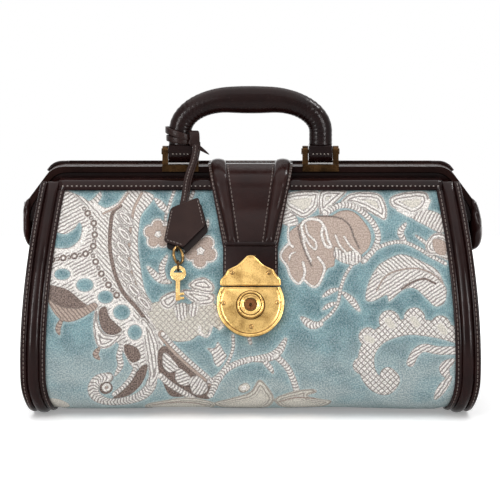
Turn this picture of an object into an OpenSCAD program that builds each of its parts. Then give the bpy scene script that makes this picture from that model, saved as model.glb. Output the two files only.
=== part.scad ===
// Frame handbag of the doctor's-bag kind: a brocade body with leather end bindings,
// a hinged mouth frame, a closing tab with a brass lock, a swinging handle and a key holder.
// Millimetres, +Z up, front towards -Y, origin under the middle of the body.

/* [Body] */
// Width over the end bindings
body_w = 360; // [330:2:400]
// Depth of the cloth at the belly
body_d = 164; // [150:2:180]
// Height of the cloth at the mouth
body_h = 183; // [176:1:190]
// Depth of the flat bottom
base_d = 76; // [60:2:90]
// Depth of the cloth across the mouth
mouth_d = 58; // [54:1:64]
// Height of the control point that shapes the belly
belly_rise = 98; // [88:1:108]
// Cloth thickness
cloth_t = 2.4; // [1.6:0.1:3]
// How much narrower each side is at the mouth
mouth_taper = 14; // [10:1:17]
// How much each end tucks in under the body
end_tuck = 8; // [4:1:12]
// Height at which the ends start to tuck in
tuck_h = 35; // [28:1:45]
// Lining thickness
lining_t = 1; // [0.6:0.1:1.6]
// Gusset leather thickness
gusset_t = 2; // [1.4:0.1:2.4]
// Thickness of the board in the bottom
board_t = 2.5; // [1.5:0.5:4]

/* [Bindings] */
// Width of an end binding
binding_w = 20; // [18:0.5:24]
// Width of the padded roll
roll_w = 9.2; // [8:0.2:10]
// Height of the padded roll above the cloth, which the bag stands on
roll_h = 4; // [3.2:0.1:5]
// Thickness of the stitched inner flange
flange_t = 1.8; // [1.2:0.1:2.2]
// Visible width of the free outer edge
edge_w = 4.8; // [4:0.2:6]
// Height of the outer edge above the cloth
edge_rise = 2.8; // [2.2:0.1:3]
// Depth of the outer edge below the cloth's face
edge_drop = 2.2; // [1:0.1:3]
// Distance from the binding's outer edge to the seam of cloth and gusset
seam_inset = 8.5; // [8:0.1:9.5]

/* [Frame] */
// Height of the frame's top plate above the cloth
frame_rise = 11.3; // [10.5:0.1:13]
// Distance of the straight top's ends from the body's sides
top_inset = 22; // [18:1:30]
// How far each hinge foot stands out beyond the body's side
foot_out = 2; // [0:0.5:7]
// Thickness of the top plate
plate_t = 4.8; // [4:0.1:5.4]
// Reach of the plate forward of the middle
plate_front = 16; // [15:0.5:19]
// Reach of the plate behind the middle
plate_back = 12; // [11:0.5:15]
// Drop from the plate's top to the knee of each leg
knee_drop = 32; // [30:0.5:34]
// Drop from the plate's top to the hinge axis
hinge_drop = 44; // [42:0.5:47]
// Height of the two bars under the plate
bar_h = 8.5; // [7:0.5:9]
// Depth of the front bar
front_bar_d = 11.5; // [8:0.5:12]
// Depth of the back bar
back_bar_d = 9; // [7:0.5:10]
// Radius of the front half's hinge eyes
eye_r = 8; // [6:0.5:9]
// Diameter of the hinge pins
hinge_pin_d = 5; // [3:0.5:6]
// Height of the raised rib along the plate's back edge
rib_h = 2; // [1:0.2:3]
// Thickness of the trim leather
trim_t = 2.3; // [1.6:0.1:2.6]
// Height of the trim's face
trim_h = 7.2; // [6:0.2:9]
// Distance of the trims' ends from the body's sides
trim_inset = 19; // [16:1:26]

/* [Handle] */
// Distance between the handle's legs
handle_span = 112; // [104:1:120]
// Height of the grip's centre line above the plate
handle_rise = 52.7; // [46:0.5:60]
// Thickness of the handle's legs
grip_d = 19; // [17:0.5:20]
// How much thicker the grip is in the middle
palm_swell = 3.6; // [0:0.2:6]
// Reach of the handle's bends across
bend_w = 40; // [24:1:46]
// Height of the handle's bends
bend_h = 25; // [18:1:30]
// Thickness of a bracket's ears
ear_t = 4.6; // [3:0.2:6]
// Thickness of a bracket's base
bracket_t = 1.7; // [1.2:0.1:2]
// Height of the handle pin above the plate
pin_rise = 11.4; // [11.2:0.1:13]
// Diameter of the handle pins
pin_d = 3.2; // [2:0.2:4]
// How far the handle pin sits in front of the middle
handle_front = 8; // [7.5:0.5:8.5]

/* [Tab] */
// Width of the tab at the frame
tab_top_w = 69; // [60:1:76]
// Width of the tab below its cross band
tab_low_w = 43; // [38:1:50]
// Thickness of the tab
tab_t = 2.6; // [2:0.1:3.2]
// Gap between the tab and the cloth under it
tab_gap = 1.6; // [1.2:0.1:2.4]
// Width of a padded ridge at the top
ridge_w = 9.4; // [7:0.2:11]
// Width of a padded ridge at the bottom
ridge_low_w = 5.6; // [4:0.2:7]
// Height of the padded ridges
ridge_h = 2.2; // [1.4:0.1:3]
// Height of the cross band above the lock's centre
band_rise = 41.5; // [38:0.5:46]
// Width of the hasp plate
hasp_w = 47.6; // [44:0.2:52]
// Height of the hasp plate
hasp_h = 24.4; // [22:0.2:27]
// Thickness of the hasp plate
hasp_t = 2.2; // [1.6:0.1:2.8]

/* [Lock] */
// Height of the lock's centre
lock_z = 93; // [89:0.5:97]
// Radius of the lock plate
lock_r = 26.4; // [24:0.2:29]
// Height of the plate's flat top above its centre
lock_cut = 11; // [9:0.2:12]
// Thickness of the lock plate
lock_t = 4; // [3:0.1:5]
// Outer radius of the button's collar
collar_r = 10.3; // [9.8:0.1:12]
// Radius of the button
button_r = 8.5; // [7.5:0.1:9]
// Height of the collar above the plate
collar_h = 5; // [4.5:0.1:6]
// Travel of the button
button_travel = 2; // [1.5:0.1:2.4]
// Radius of the keyhole plug
plug_r = 4.5; // [4:0.1:5.5]

/* [Key holder] */
// Width of the lace
lace_w = 6.4; // [5:0.2:8]
// Thickness of the lace
lace_t = 1.8; // [1.2:0.1:2]
// Thickness of each leather leaf
leaf_t = 2; // [1.4:0.1:2.6]
// Radius of the split ring
ring_r = 6.5; // [5.5:0.1:7.5]
// Wire thickness of the split ring
ring_wire = 1.6; // [1:0.1:2]
// Radius of the small link
link_r = 4; // [3.6:0.1:5]
// Wire thickness of the small link
link_wire = 1.2; // [0.8:0.1:1.4]
// Radius of the key's bow
bow_r = 6.3; // [5.8:0.1:7]
// Radius of the hole in the bow
bow_hole_r = 3.4; // [3:0.1:4]
// Length of the key's shaft below the bow
key_shaft = 16; // [12:0.5:18]
// Thickness of the key
key_t = 1.6; // [1.2:0.1:1.8]

/* [Hidden] */

leather = [0.15, 0.07, 0.07];
leather_edge = [0.22, 0.11, 0.1];
brocade = [0.55, 0.72, 0.74];
brass = [0.78, 0.6, 0.26];
lining_cloth = [0.45, 0.38, 0.32];
board = [0.3, 0.25, 0.2];

// Clearances: between soft layers, in a running fit and in a fixed fit
layer_gap = 0.25;
running_gap = 0.06;
fixed_gap = 0.02;
seat_gap = 0.1;

// Curve of the front panel in the Y-Z plane, from the flat bottom up to the mouth
lift = roll_h;
belly_lean = 12;
reach_sum = (8 * body_d / 2 - base_d / 2 - mouth_d / 2) / 3;
front_curve = [
  [-base_d / 2, lift],
  [-(reach_sum + belly_lean) / 2, lift],
  [-(reach_sum - belly_lean) / 2, belly_rise],
  [-mouth_d / 2, body_h]
];
curve_steps = 22;

function unit(v) = v / norm(v);
function reversed(p) = [for (i = [len(p) - 1:-1:0]) p[i]];
function mirrored(p) = [for (q = p) [-q[0], q[1]]];
function mix(a, b, s) = a + (b - a) * s;
function bezier(p, t) =
  pow(1 - t, 3) * p[0] + 3 * t * pow(1 - t, 2) * p[1] + 3 * t * t * (1 - t) * p[2] + pow(t, 3) * p[3];
function bezier_way(p, t) =
  pow(1 - t, 2) * (p[1] - p[0]) + 2 * t * (1 - t) * (p[2] - p[1]) + t * t * (p[3] - p[2]);

// Outward normal of the panel, and its point at t moved out by d
function panel_out(t) = let (v = unit(bezier_way(front_curve, t))) [-v[1], v[0]];
function panel(t, d = 0) = bezier(front_curve, t) + d * panel_out(t);
// Curve value at the height z, by halving
function t_at(z, lo = 0, hi = 1, k = 26) =
  let (mid = (lo + hi) / 2)
  k == 0 ? mid : panel(mid)[1] < z ? t_at(z, mid, hi, k - 1) : t_at(z, lo, mid, k - 1);
function panel_tilt(z) = let (n = panel_out(t_at(z))) atan2(-n[0], n[1]);

// The U of front, bottom and back at the offset d, from the front's top edge to the back's
function half_u(d, z_top) = [for (i = [0:curve_steps]) panel(t_at(z_top) * (1 - i / curve_steps), d)];
function whole_u(d, z_top) = concat(half_u(d, z_top), mirrored(reversed(half_u(d, z_top))));
function u_shell(d_out, d_in, z_top) = concat(whole_u(d_out, z_top), reversed(whole_u(d_in, z_top)));

// Half width of the body over its bindings at the height z
function half_w(z) =
  body_w / 2
  - mouth_taper * pow(max(0, z - tuck_h) / (body_h - tuck_h), 2)
  - end_tuck * pow(max(0, 1 - z / tuck_h), 2);
outline_steps = 14;
function end_line(inset) =
  [for (i = [0:outline_steps]) let (z = body_h * 1.02 * i / outline_steps) [half_w(z) - inset, z]];
function front_view(inset) = concat(end_line(inset), reversed(mirrored(end_line(inset))));

// Path offset to its right by d, with mitred corners
function right_of(a, b) = let (u = unit(b - a)) [u[1], -u[0]];
function vertex_right(p, i) =
  i == 0 ? right_of(p[0], p[1])
  : i == len(p) - 1 ? right_of(p[i - 1], p[i])
  : let (m = right_of(p[i - 1], p[i]), n = right_of(p[i], p[i + 1])) (m + n) / (1 + m * n);
function offset_path(p, d) = [for (i = [0:len(p) - 1]) p[i] + d * vertex_right(p, i)];

// Corner b between a and c, rounded off from r before it to r after it
function corner(a, b, c, r, n = 5) =
  let (s = b + r * unit(a - b), e = b + r * unit(c - b))
  [for (i = [0:n]) let (k = i / n) pow(1 - k, 2) * s + 2 * k * (1 - k) * b + k * k * e];
// Open path with rounded corners, each kept within its two sides
side_share = 0.48;
function side_room(p, i) =
  norm(p[i + 1] - p[i]) * (i == 0 || i == len(p) - 2 ? 2 * side_share : side_share);
function rounded_open(p, r) = [
  p[0],
  for (i = [1:len(p) - 2])
    each corner(p[i - 1], p[i], p[i + 1], min(r, side_room(p, i - 1), side_room(p, i))),
  p[len(p) - 1]
];
function rounded_closed(p, r) =
  [for (i = [0:len(p) - 1]) each corner(p[(i + len(p) - 1) % len(p)], p[i], p[(i + 1) % len(p)], r)];

// Solid through a list of rings of points, capped at both ends or closed on itself
module skin(rings, closed = false) {
  n = len(rings[0]);
  m = len(rings);
  last = closed ? m - 1 : m - 2;
  walls = [
    for (i = [0:last]) for (j = [0:n - 1])
      let (here = i * n, next = ((i + 1) % m) * n, k = (j + 1) % n)
      each [[here + j, next + k, here + k], [here + j, next + j, next + k]]
  ];
  caps = closed ? [] : [[for (j = [0:n - 1]) j], [for (j = [n - 1:-1:0]) (m - 1) * n + j]];
  polyhedron([for (r = rings) each r], concat(walls, caps));
}

// Y-Z outline carried along X, and X-Z outline carried along Y from y_lo to y_hi
module along_x(w) {
  rotate([90, 0, 90]) linear_extrude(w, center = true) children();
}
module along_y(y_lo, y_hi) {
  rotate([90, 0, 0]) translate([0, 0, -y_hi]) linear_extrude(y_hi - y_lo) children();
}
module between_ends(inset) {
  along_y(-body_d, body_d) polygon(front_view(inset));
}
module x_rod(x_lo, x_hi, y, z, r) {
  translate([x_lo, y, z]) rotate([0, 90, 0]) cylinder(h = x_hi - x_lo, r = r, $fn = 48);
}
// Local frame on the front panel at the height z: X right, Y up the panel, Z outwards
module on_panel(z, x = 0) {
  p = panel(t_at(z));
  translate([x, p[0], p[1]]) rotate([panel_tilt(z), 0, 0]) children();
}

module brocade_body() {
  color(brocade)
  intersection() {
    along_x(body_w) polygon(u_shell(0, -cloth_t, body_h));
    between_ends(seam_inset);
  }
}

lining_face = cloth_t + layer_gap;
lining_inset = seam_inset + gusset_t + layer_gap;

module lining() {
  color(lining_cloth)
  intersection() {
    along_x(body_w) polygon(u_shell(-lining_face, -lining_face - lining_t, body_h));
    between_ends(lining_inset);
  }
}

board_z = lift + lining_face + lining_t + layer_gap;
board_gap = 4;
board_set = 3;
board_w = 2 * (half_w(board_z) - lining_inset - board_gap);
board_d = base_d - 2 * board_set;
board_corner = 10;

module base_board() {
  color(board)
  translate([0, 0, board_z]) linear_extrude(board_t)
    polygon(rounded_closed([
      [board_w / 2, -board_d / 2], [board_w / 2, board_d / 2],
      [-board_w / 2, board_d / 2], [-board_w / 2, -board_d / 2]
    ], board_corner));
}

// Section of the binding: U runs in from its outer edge, V out from the cloth
groove_w = 0.6;
edge_soft = 0.7;
roll_u = -(edge_w + groove_w + roll_w / 2);
roll_v = flange_t * 0.6;
roll_sides = 7;
roll_start = 18;
roll_sweep = 180 - 2 * roll_start;
roll_flat = sin(roll_start + roll_sweep * 3 / roll_sides);
function roll_point(a) =
  [roll_u + roll_w / 2 * cos(a), roll_v + (roll_h - roll_v) * min(1, sin(a) / roll_flat)];
binding_section = concat(
  [
    [-binding_w, layer_gap], [-seam_inset + layer_gap, layer_gap],
    [-seam_inset + layer_gap, -edge_drop], [0, -edge_drop],
    [0, edge_rise - edge_soft], [-edge_soft, edge_rise], [-edge_w, edge_rise]
  ],
  [for (i = [0:roll_sides]) roll_point(roll_start + roll_sweep * i / roll_sides)],
  [[-binding_w + edge_soft, flange_t], [-binding_w, flange_t - edge_soft]]
);
binding_drop = 9;
binding_top = body_h - binding_drop;
binding_t = [for (i = [0:curve_steps]) t_at(binding_top) * (1 - i / curve_steps)];

function binding_ring(t, back) =
  let (s = back ? -1 : 1)
  [for (q = binding_section) let (p = panel(t, q[1])) [half_w(p[1]) + q[0], s * p[0], p[1]]];

module right_binding() {
  color(leather)
  skin(concat(
    [for (t = binding_t) binding_ring(t, false)],
    [for (t = reversed(binding_t)) binding_ring(t, true)]
  ));
}
module left_binding() {
  mirror([1, 0, 0]) right_binding();
}

frame_top = body_h + frame_rise;
hinge_z = frame_top - hinge_drop;
hinge_y = (plate_back - plate_front) / 2;
foot_r = (plate_back + plate_front) / 2;
foot_x = body_w / 2 + foot_out;
frame_top_w = body_w - 2 * top_inset;
trim_w = body_w - 2 * trim_inset;
nest_gap = 0.6;
eye_gap = 1.2;
bar_top = plate_t + nest_gap;
bar_low = bar_top + bar_h;
bar_setback = 1.5;
front_bar_face = -(plate_front - bar_setback);
back_bar_start = front_bar_face + front_bar_d + bar_setback;
back_bar_face = back_bar_start + back_bar_d;
gusset_drop = 7;
gusset_top = body_h - gusset_drop;
notch_rise = 6;
notch_z = hinge_z + notch_rise;
notch_gap = 1;

// End panel inside the cloth's U, notched where the frame's legs come down
module right_gusset() {
  color(leather_edge)
  intersection() {
    difference() {
      along_x(body_w) polygon(whole_u(-lining_face, gusset_top));
      between_ends(seam_inset + gusset_t);
      translate([0, -plate_front - notch_gap, notch_z])
        cube([body_w, plate_front + plate_back + 2 * notch_gap, body_h]);
    }
    between_ends(seam_inset);
    translate([0, -body_d, 0]) cube([body_w, 2 * body_d, body_h * 1.2]);
  }
}
module left_gusset() {
  mirror([1, 0, 0]) right_gusset();
}

// Arch of the mouth frame seen from the front, from the left foot over the top to the right foot
arch = [
  [-foot_x, hinge_z], [-foot_x, frame_top - knee_drop], [-frame_top_w / 2, frame_top],
  [frame_top_w / 2, frame_top], [foot_x, frame_top - knee_drop], [foot_x, hinge_z]
];
arch_round = 9;
rib_d = 3.5;
leg_clear = eye_r + 4;

module arch_bar(d_out, d_in, y_lo, y_hi) {
  along_y(y_lo, y_hi) polygon(concat(
    rounded_open(offset_path(arch, d_out), arch_round),
    reversed(rounded_open(offset_path(arch, d_in), arch_round))
  ));
}

module back_frame() {
  color(leather)
  difference() {
    union() {
      arch_bar(0, plate_t, -plate_front, plate_back);
      difference() {
        arch_bar(plate_t, bar_low, back_bar_start, back_bar_face);
        translate([-foot_x, -body_d, 0]) cube([2 * foot_x, 2 * body_d, hinge_z + leg_clear]);
      }
      translate([-frame_top_w / 2 + arch_round, plate_back - rib_d, frame_top])
        cube([frame_top_w - 2 * arch_round, rib_d, rib_h]);
      x_rod(foot_x - plate_t, foot_x, hinge_y, hinge_z, foot_r);
      x_rod(-foot_x, -foot_x + plate_t, hinge_y, hinge_z, foot_r);
    }
    x_rod(-foot_x - 1, foot_x + 1, hinge_y, hinge_z, hinge_pin_d / 2 + fixed_gap);
  }
}

module front_frame() {
  color(leather)
  difference() {
    union() {
      arch_bar(bar_top, bar_low, front_bar_face, front_bar_face + front_bar_d);
      x_rod(foot_x - bar_low, foot_x - bar_top - eye_gap, hinge_y, hinge_z, eye_r);
      x_rod(-foot_x + bar_top + eye_gap, -foot_x + bar_low, hinge_y, hinge_z, eye_r);
    }
    x_rod(-foot_x, foot_x, hinge_y, hinge_z, hinge_pin_d / 2 + running_gap);
  }
}

pin_head_t = 0.8;
pin_head_out = 1.5;
pin_stand = 0.05;

module hinge_pins() {
  color(brass)
  for (s = [0, 1]) mirror([s, 0, 0]) {
    x_rod(foot_x - bar_low, foot_x + pin_stand, hinge_y, hinge_z, hinge_pin_d / 2);
    x_rod(foot_x + pin_stand, foot_x + pin_head_t, hinge_y, hinge_z, hinge_pin_d / 2 + pin_head_out);
  }
}

// Section of a trim: a face on the cloth's top edge, and a lip back to the frame's bar at bar_y
trim_low_t = t_at(body_h - trim_h);
lip_top = body_h + layer_gap + trim_t;
lip_gap = 0.3;
lip_low = body_h + layer_gap + lip_gap;
lip_bevel = 1;
function trim_section(bar_y) = [
  panel(trim_low_t, layer_gap), panel(trim_low_t, layer_gap + trim_t), panel(1, layer_gap + trim_t),
  [panel(1, layer_gap + trim_t)[0] + lip_bevel, lip_top], [bar_y, lip_top], [bar_y, lip_low],
  panel(1, layer_gap) + [lip_gap, 0]
];

// Length of the lip, which runs between the slopes of the frame
lip_w = frame_top_w - 2 * arch_round;

// Trim whose lip keeps clear of the frame's slopes beyond its ends
module trim(bar_y, plate_reach) {
  difference() {
    along_x(trim_w) polygon(trim_section(bar_y));
    for (s = [0, 1]) mirror([s, 0, 0]) translate([lip_w / 2, -plate_reach - notch_gap, 0])
      cube([trim_w, body_d, 2 * body_h]);
  }
}
module front_trim() {
  color(leather_edge) trim(front_bar_face, plate_front);
}
module back_trim() {
  color(leather_edge) mirror([0, 1, 0]) trim(-back_bar_face, plate_back);
}

handle_x = handle_span / 2;
pin_z = frame_top + pin_rise;
ear_gap = 0.4;
ear_in = grip_d / 2 + ear_gap;
bracket_half = ear_in + ear_t;
ear_r = 4.5;
bracket_setback = 0.5;
bracket_d = plate_front - bracket_setback;
lip_drop = 4;

// U-shaped bracket: base on the plate, lip over its front edge, and two ears for the pin
module right_bracket() {
  color(brass)
  translate([handle_x, 0, 0])
  difference() {
    union() {
      translate([-bracket_half, -plate_front, frame_top])
        cube([2 * bracket_half, bracket_d, bracket_t]);
      translate([-bracket_half, -plate_front - bracket_t, frame_top - lip_drop])
        cube([2 * bracket_half, bracket_t, lip_drop + bracket_t]);
      for (s = [-1, 1]) translate([s * (ear_in + ear_t / 2), 0, 0])
        along_x(ear_t) union() {
          polygon([
            [-plate_front, frame_top], [-plate_front + bracket_d, frame_top],
            [-handle_front + ear_r, pin_z], [-handle_front - ear_r, pin_z]
          ]);
          translate([-handle_front, pin_z]) circle(r = ear_r, $fn = 48);
        }
    }
    x_rod(-bracket_half - 1, bracket_half + 1, -handle_front, pin_z, pin_d / 2 + fixed_gap);
  }
}
module left_bracket() {
  mirror([1, 0, 0]) right_bracket();
}

handle_head_r = pin_d / 2 + 0.9;

module handle_pins() {
  color(brass)
  for (s = [-1, 1]) translate([s * handle_x, 0, 0]) {
    x_rod(-bracket_half - pin_stand, bracket_half + pin_stand, -handle_front, pin_z, pin_d / 2);
    for (e = [0, 1]) mirror([e, 0, 0])
      x_rod(bracket_half + pin_stand, bracket_half + pin_head_t, -handle_front, pin_z, handle_head_r);
  }
}

end_clear = 0.5;
end_rise = 5.5;
end_r = pin_rise - bracket_t - end_clear;
end_top = pin_z + end_rise;

// Folded leather end that the pin passes through
module right_handle_end() {
  color(leather)
  translate([handle_x, 0, 0])
  difference() {
    intersection() {
      along_x(grip_d) union() {
        translate([-handle_front, pin_z]) circle(r = end_r, $fn = 64);
        translate([-handle_front - end_r, pin_z]) square([2 * end_r, end_top - pin_z]);
      }
      translate([-grip_d, -body_d, 0]) cube([2 * grip_d, 2 * body_d, end_top]);
    }
    x_rod(-grip_d, grip_d, -handle_front, pin_z, pin_d / 2 + running_gap);
  }
}
module left_handle_end() {
  mirror([1, 0, 0]) right_handle_end();
}

grip_z = frame_top + handle_rise;
grip_sides = 12;
bend_steps = 8;
swell_steps = 8;
straight_x = handle_x - bend_w;
// Stations of the grip's centre line: X, Z, direction angle and half thickness in its own plane
grip_half = concat(
  [[handle_x, end_top, 90, grip_d / 2]],
  [for (i = [0:bend_steps]) let (a = 90 * i / bend_steps)
    [straight_x + bend_w * cos(a), grip_z - bend_h + bend_h * sin(a),
      atan2(bend_h * cos(a), -bend_w * sin(a)), grip_d / 2]],
  [for (i = [1:swell_steps / 2]) let (k = 1 - 2 * i / swell_steps)
    [straight_x * k, grip_z, 180, grip_d / 2 + palm_swell / 2 * pow(cos(90 * k), 2)]]
);
grip_line = concat(
  grip_half,
  [for (i = [len(grip_half) - 2:-1:0]) let (g = grip_half[i]) [-g[0], g[1], 360 - g[2], g[3]]]
);

function grip_point(g, a) =
  [g[0] + g[3] * cos(a) * sin(g[2]), grip_d / 2 * sin(a) - handle_front, g[1] - g[3] * cos(a) * cos(g[2])];

module handle_grip() {
  color(leather)
  skin([for (g = grip_line) [for (j = [0:grip_sides - 1]) grip_point(g, 360 * j / grip_sides)]]);
}

anchor_setback = 1;
anchor_front = plate_front - anchor_setback;
anchor_d = 12;
tab_top_z = frame_top + tab_t;

module tab_anchor() {
  color(leather)
  translate([-tab_top_w / 2, -anchor_front, frame_top]) cube([tab_top_w, anchor_d, tab_t]);
}

// Inner face of the tab: out over the trim's edge, then down along the panel
band_z = lock_z + band_rise;
hasp_rise = 23;
hasp_z = lock_z + hasp_rise;
tab_end_z = hasp_z - hasp_h / 3;
ridge_stop = 4;
ridge_end_z = band_z + ridge_stop;
ridge_steps = 5;
low_steps = 4;
tab_setback = 0.4;
trim_clear = layer_gap + trim_t + 1.4;
tab_z = concat(
  [for (k = [0:ridge_steps]) mix(body_h - trim_h, ridge_end_z, k / ridge_steps)],
  [for (k = [1:low_steps]) mix(ridge_end_z, tab_end_z, k / low_steps)]
);
tab_inner = concat(
  [[-plate_front - tab_setback, frame_top], panel(1, trim_clear) + [-tab_setback / 2, 1]],
  [for (k = [0:len(tab_z) - 1])
    panel(t_at(tab_z[k]), k == 0 ? trim_clear : k == 1 ? (trim_clear + tab_gap) / 2 : tab_gap)]
);
tab_outer = offset_path(tab_inner, tab_t);

module tab_strap() {
  color(leather)
  intersection() {
    along_x(tab_top_w) polygon(concat(tab_inner, reversed(tab_outer)));
    along_y(-body_d, 0) polygon([
      [tab_top_w / 2, tab_top_z + 1], [tab_low_w / 2, band_z], [tab_low_w / 2, 0],
      [-tab_low_w / 2, 0], [-tab_low_w / 2, band_z], [-tab_top_w / 2, tab_top_z + 1]
    ]);
  }
}

ridge_edge_top = 3.8;
ridge_edge_low = 4.2;
ridge_top_x = tab_top_w / 2 - ridge_w / 2 - ridge_edge_top;
ridge_low_x = tab_low_w / 2 - ridge_low_w / 2 - ridge_edge_low;
ridge_sides = 6;
// Stations of the ridges, from the tab's top to just above the cross band
ridge_at = [0:ridge_steps + 2];

function ridge_ring(i) =
  let (
    p = tab_outer[i], n = vertex_right(tab_inner, i),
    s = (tab_top_z - p[1]) / (tab_top_z - band_z),
    x = mix(ridge_top_x, ridge_low_x, s), w = mix(ridge_w, ridge_low_w, s) / 2
  )
  [for (j = [0:ridge_sides]) let (a = 180 * j / ridge_sides, h = seat_gap / 2 + ridge_h * sin(a))
    [x + w * cos(a), p[0] + h * n[0], p[1] + h * n[1]]];

module tab_ridges() {
  color(leather)
  for (s = [0, 1]) mirror([s, 0, 0]) skin([for (i = ridge_at) ridge_ring(i)]);
}

// Height of the tab's outer face above the cloth
tab_face = tab_gap + tab_t;
band_h = 4.4;
band_t = 1.2;

module tab_band() {
  color(leather)
  on_panel(band_z) translate([-tab_low_w / 2, -band_h / 2, tab_face + seat_gap])
    cube([tab_low_w, band_h, band_t]);
}

// Hasp plate with a peaked top and spreading shoulders
hasp_low = -hasp_h * 0.475;
hasp_round = 1.8;
// Right half of the outline, as shares of its width and height: side, shoulder, hollow flank and peak
hasp_shares = [[0.5, 0], [0.5, 0.19], [0.425, 0.335], [0.38, 0.52], [0.21, 0.68], [0.12, 0.86], [0.05, 1]];
hasp_half = [for (p = hasp_shares) [p[0] * hasp_w, hasp_low + p[1] * hasp_h]];
hasp_outline = concat(mirrored(reversed(hasp_half)), hasp_half);
hasp_face = tab_face + seat_gap;

module hasp_plate() {
  color(brass)
  on_panel(hasp_z) translate([0, 0, hasp_face]) linear_extrude(hasp_t)
    polygon(rounded_closed(hasp_outline, hasp_round));
}

// Domed rivet head
rivet_steps = 5;
module rivet(r, h) {
  rotate_extrude($fn = 32) polygon(concat(
    [[0, 0]],
    [for (i = [0:rivet_steps]) let (a = 90 * i / rivet_steps) [r * cos(a), h * sin(a)]]
  ));
}
hasp_rivet_x = hasp_w * 0.3;
hasp_rivet_s = -1.2;
rivet_r = 1.9;
rivet_h = 1.1;

module hasp_rivets() {
  color(brass)
  on_panel(hasp_z) for (s = [-1, 1])
    translate([s * hasp_rivet_x, hasp_rivet_s, hasp_face + hasp_t]) rivet(rivet_r, rivet_h);
}

lock_face = layer_gap + lock_t;
lock_bevel = 1;
lock_rim = 2.6;
lock_groove_w = 1.4;
lock_groove_d = 0.5;

// Round plate with a bevelled rim and a flat top
module lock_plate() {
  color(brass)
  on_panel(lock_z) intersection() {
    rotate_extrude($fn = 96) polygon([
      [0, layer_gap], [lock_r, layer_gap], [lock_r, lock_face - lock_bevel], [lock_r - lock_bevel, lock_face],
      [lock_r - lock_rim, lock_face], [lock_r - lock_rim - lock_groove_w / 2, lock_face - lock_groove_d],
      [lock_r - lock_rim - lock_groove_w, lock_face], [0, lock_face]
    ]);
    translate([-2 * lock_r, -2 * lock_r, 0]) cube([4 * lock_r, 2 * lock_r + lock_cut, 2 * lock_face]);
  }
}

lock_rivet_at = [[-lock_r * 0.8, 0], [lock_r * 0.8, 0.6], [0.6, -lock_r * 0.7]];

module lock_rivets() {
  color(brass)
  on_panel(lock_z) for (p = lock_rivet_at)
    translate([p[0], p[1], lock_face]) rivet(rivet_r, rivet_h);
}

button_drop = -1.5;
rim_soft = 0.6;

// Collar that the button slides in
module lock_ring() {
  color(brass)
  on_panel(lock_z) translate([0, button_drop, lock_face]) difference() {
    rotate_extrude($fn = 72) polygon([
      [0, 0], [collar_r + rim_soft, 0], [collar_r, rim_soft], [collar_r, collar_h - rim_soft],
      [collar_r - rim_soft, collar_h], [0, collar_h]
    ]);
    translate([0, 0, -1]) cylinder(h = collar_h + 2, r = button_r + running_gap, $fn = 72);
  }
}

button_clear = 0.3;
button_low = button_travel + button_clear;
button_dish = 0.9;
button_rise = 0.2;
button_rim = 0.8;

module lock_button() {
  color(brass)
  on_panel(lock_z) translate([0, button_drop, lock_face]) difference() {
    rotate_extrude($fn = 72) polygon([
      [0, button_low], [button_r, button_low], [button_r, collar_h - button_rise],
      [button_r - rim_soft, collar_h + button_rise],
      [button_r - rim_soft - button_rim, collar_h + button_rise],
      [plug_r + button_rim, collar_h - button_dish], [0, collar_h - button_dish]
    ]);
    translate([0, 0, -1]) cylinder(h = collar_h + 2, r = plug_r + running_gap, $fn = 64);
  }
}

keyhole_r = 1.3;
keyhole_w = 1.2;
keyhole_l = 3.4;
keyhole_floor = 0.4;
plug_h = collar_h - button_dish - button_low - button_clear;

// Turning plug with the keyhole
module lock_plug() {
  color(brass)
  on_panel(lock_z) translate([0, button_drop, lock_face]) difference() {
    translate([0, 0, button_low]) cylinder(h = plug_h, r = plug_r, $fn = 64);
    translate([0, 0, button_low + keyhole_floor]) cylinder(h = collar_h, r = keyhole_r, $fn = 32);
    translate([-keyhole_w / 2, -keyhole_l, button_low + keyhole_floor])
      cube([keyhole_w, keyhole_l, collar_h]);
  }
}

// Plate inside the lining, set in by the panel's curve over its radius
backplate_r = 16;
backplate_sag = 0.8;
backplate_t = 1.2;

module lock_backplate() {
  color(brass)
  on_panel(lock_z) translate([0, 0, -lining_face - lining_t - layer_gap - backplate_sag - backplate_t])
    cylinder(h = backplate_t, r = backplate_r, $fn = 72);
}

// The key holder hangs in a plane that lies along the panel at this height
holder_z = 135;
holder_gap = 2;

module in_holder(x, s, out) {
  on_panel(holder_z) translate([x, s, holder_gap + out]) children();
}
function holder_point(x, s, out) =
  let (p = panel(t_at(holder_z)), a = panel_tilt(holder_z), h = holder_gap + out)
  [x, p[0] + s * cos(a) - h * sin(a), p[1] + s * sin(a) + h * cos(a)];

// Corners of the leather leaf: X, and distance up the holder's plane
leaf = [[-63, 31], [-41, 40], [-35, 17], [-53, -2], [-68, 3]];
leaf_round = 2.5;
back_shift = [2, -4.5];
leaf_gap = 0.3;
leaf_out = leaf_t + leaf_gap;
ring_x = -56.5;
ring_turn = 58;
// The ring stands turned on the panel, so that it passes through the back leaf below its top
chain_out = ring_r * sin(ring_turn) + ring_wire / 2 + leaf_gap - holder_gap;
ring_pass = asin((chain_out - leaf_t / 2) / (ring_r * sin(ring_turn)));
ring_hole = [ring_x + ring_r * cos(ring_turn) * sin(ring_pass), -4];
ring_s = ring_hole[1] - ring_r * cos(ring_pass);
ring_hole_gap = 0.9;
link_gap = 0.4;
bow_gap = 0.8;
link_s = ring_s - ring_r + ring_wire / 2 + link_wire / 2 + link_gap - link_r;
bow_s = link_s - link_r + link_wire / 2 + bow_gap - bow_hole_r;

module clochette_front() {
  color(leather)
  in_holder(0, 0, leaf_out) linear_extrude(leaf_t) polygon(rounded_closed(leaf, leaf_round));
}
module clochette_back() {
  color(leather_edge)
  in_holder(0, 0, 0) linear_extrude(leaf_t) difference() {
    translate(back_shift) polygon(rounded_closed(leaf, leaf_round));
    translate(ring_hole) circle(r = ring_wire + ring_hole_gap, $fn = 32);
  }
}

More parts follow.
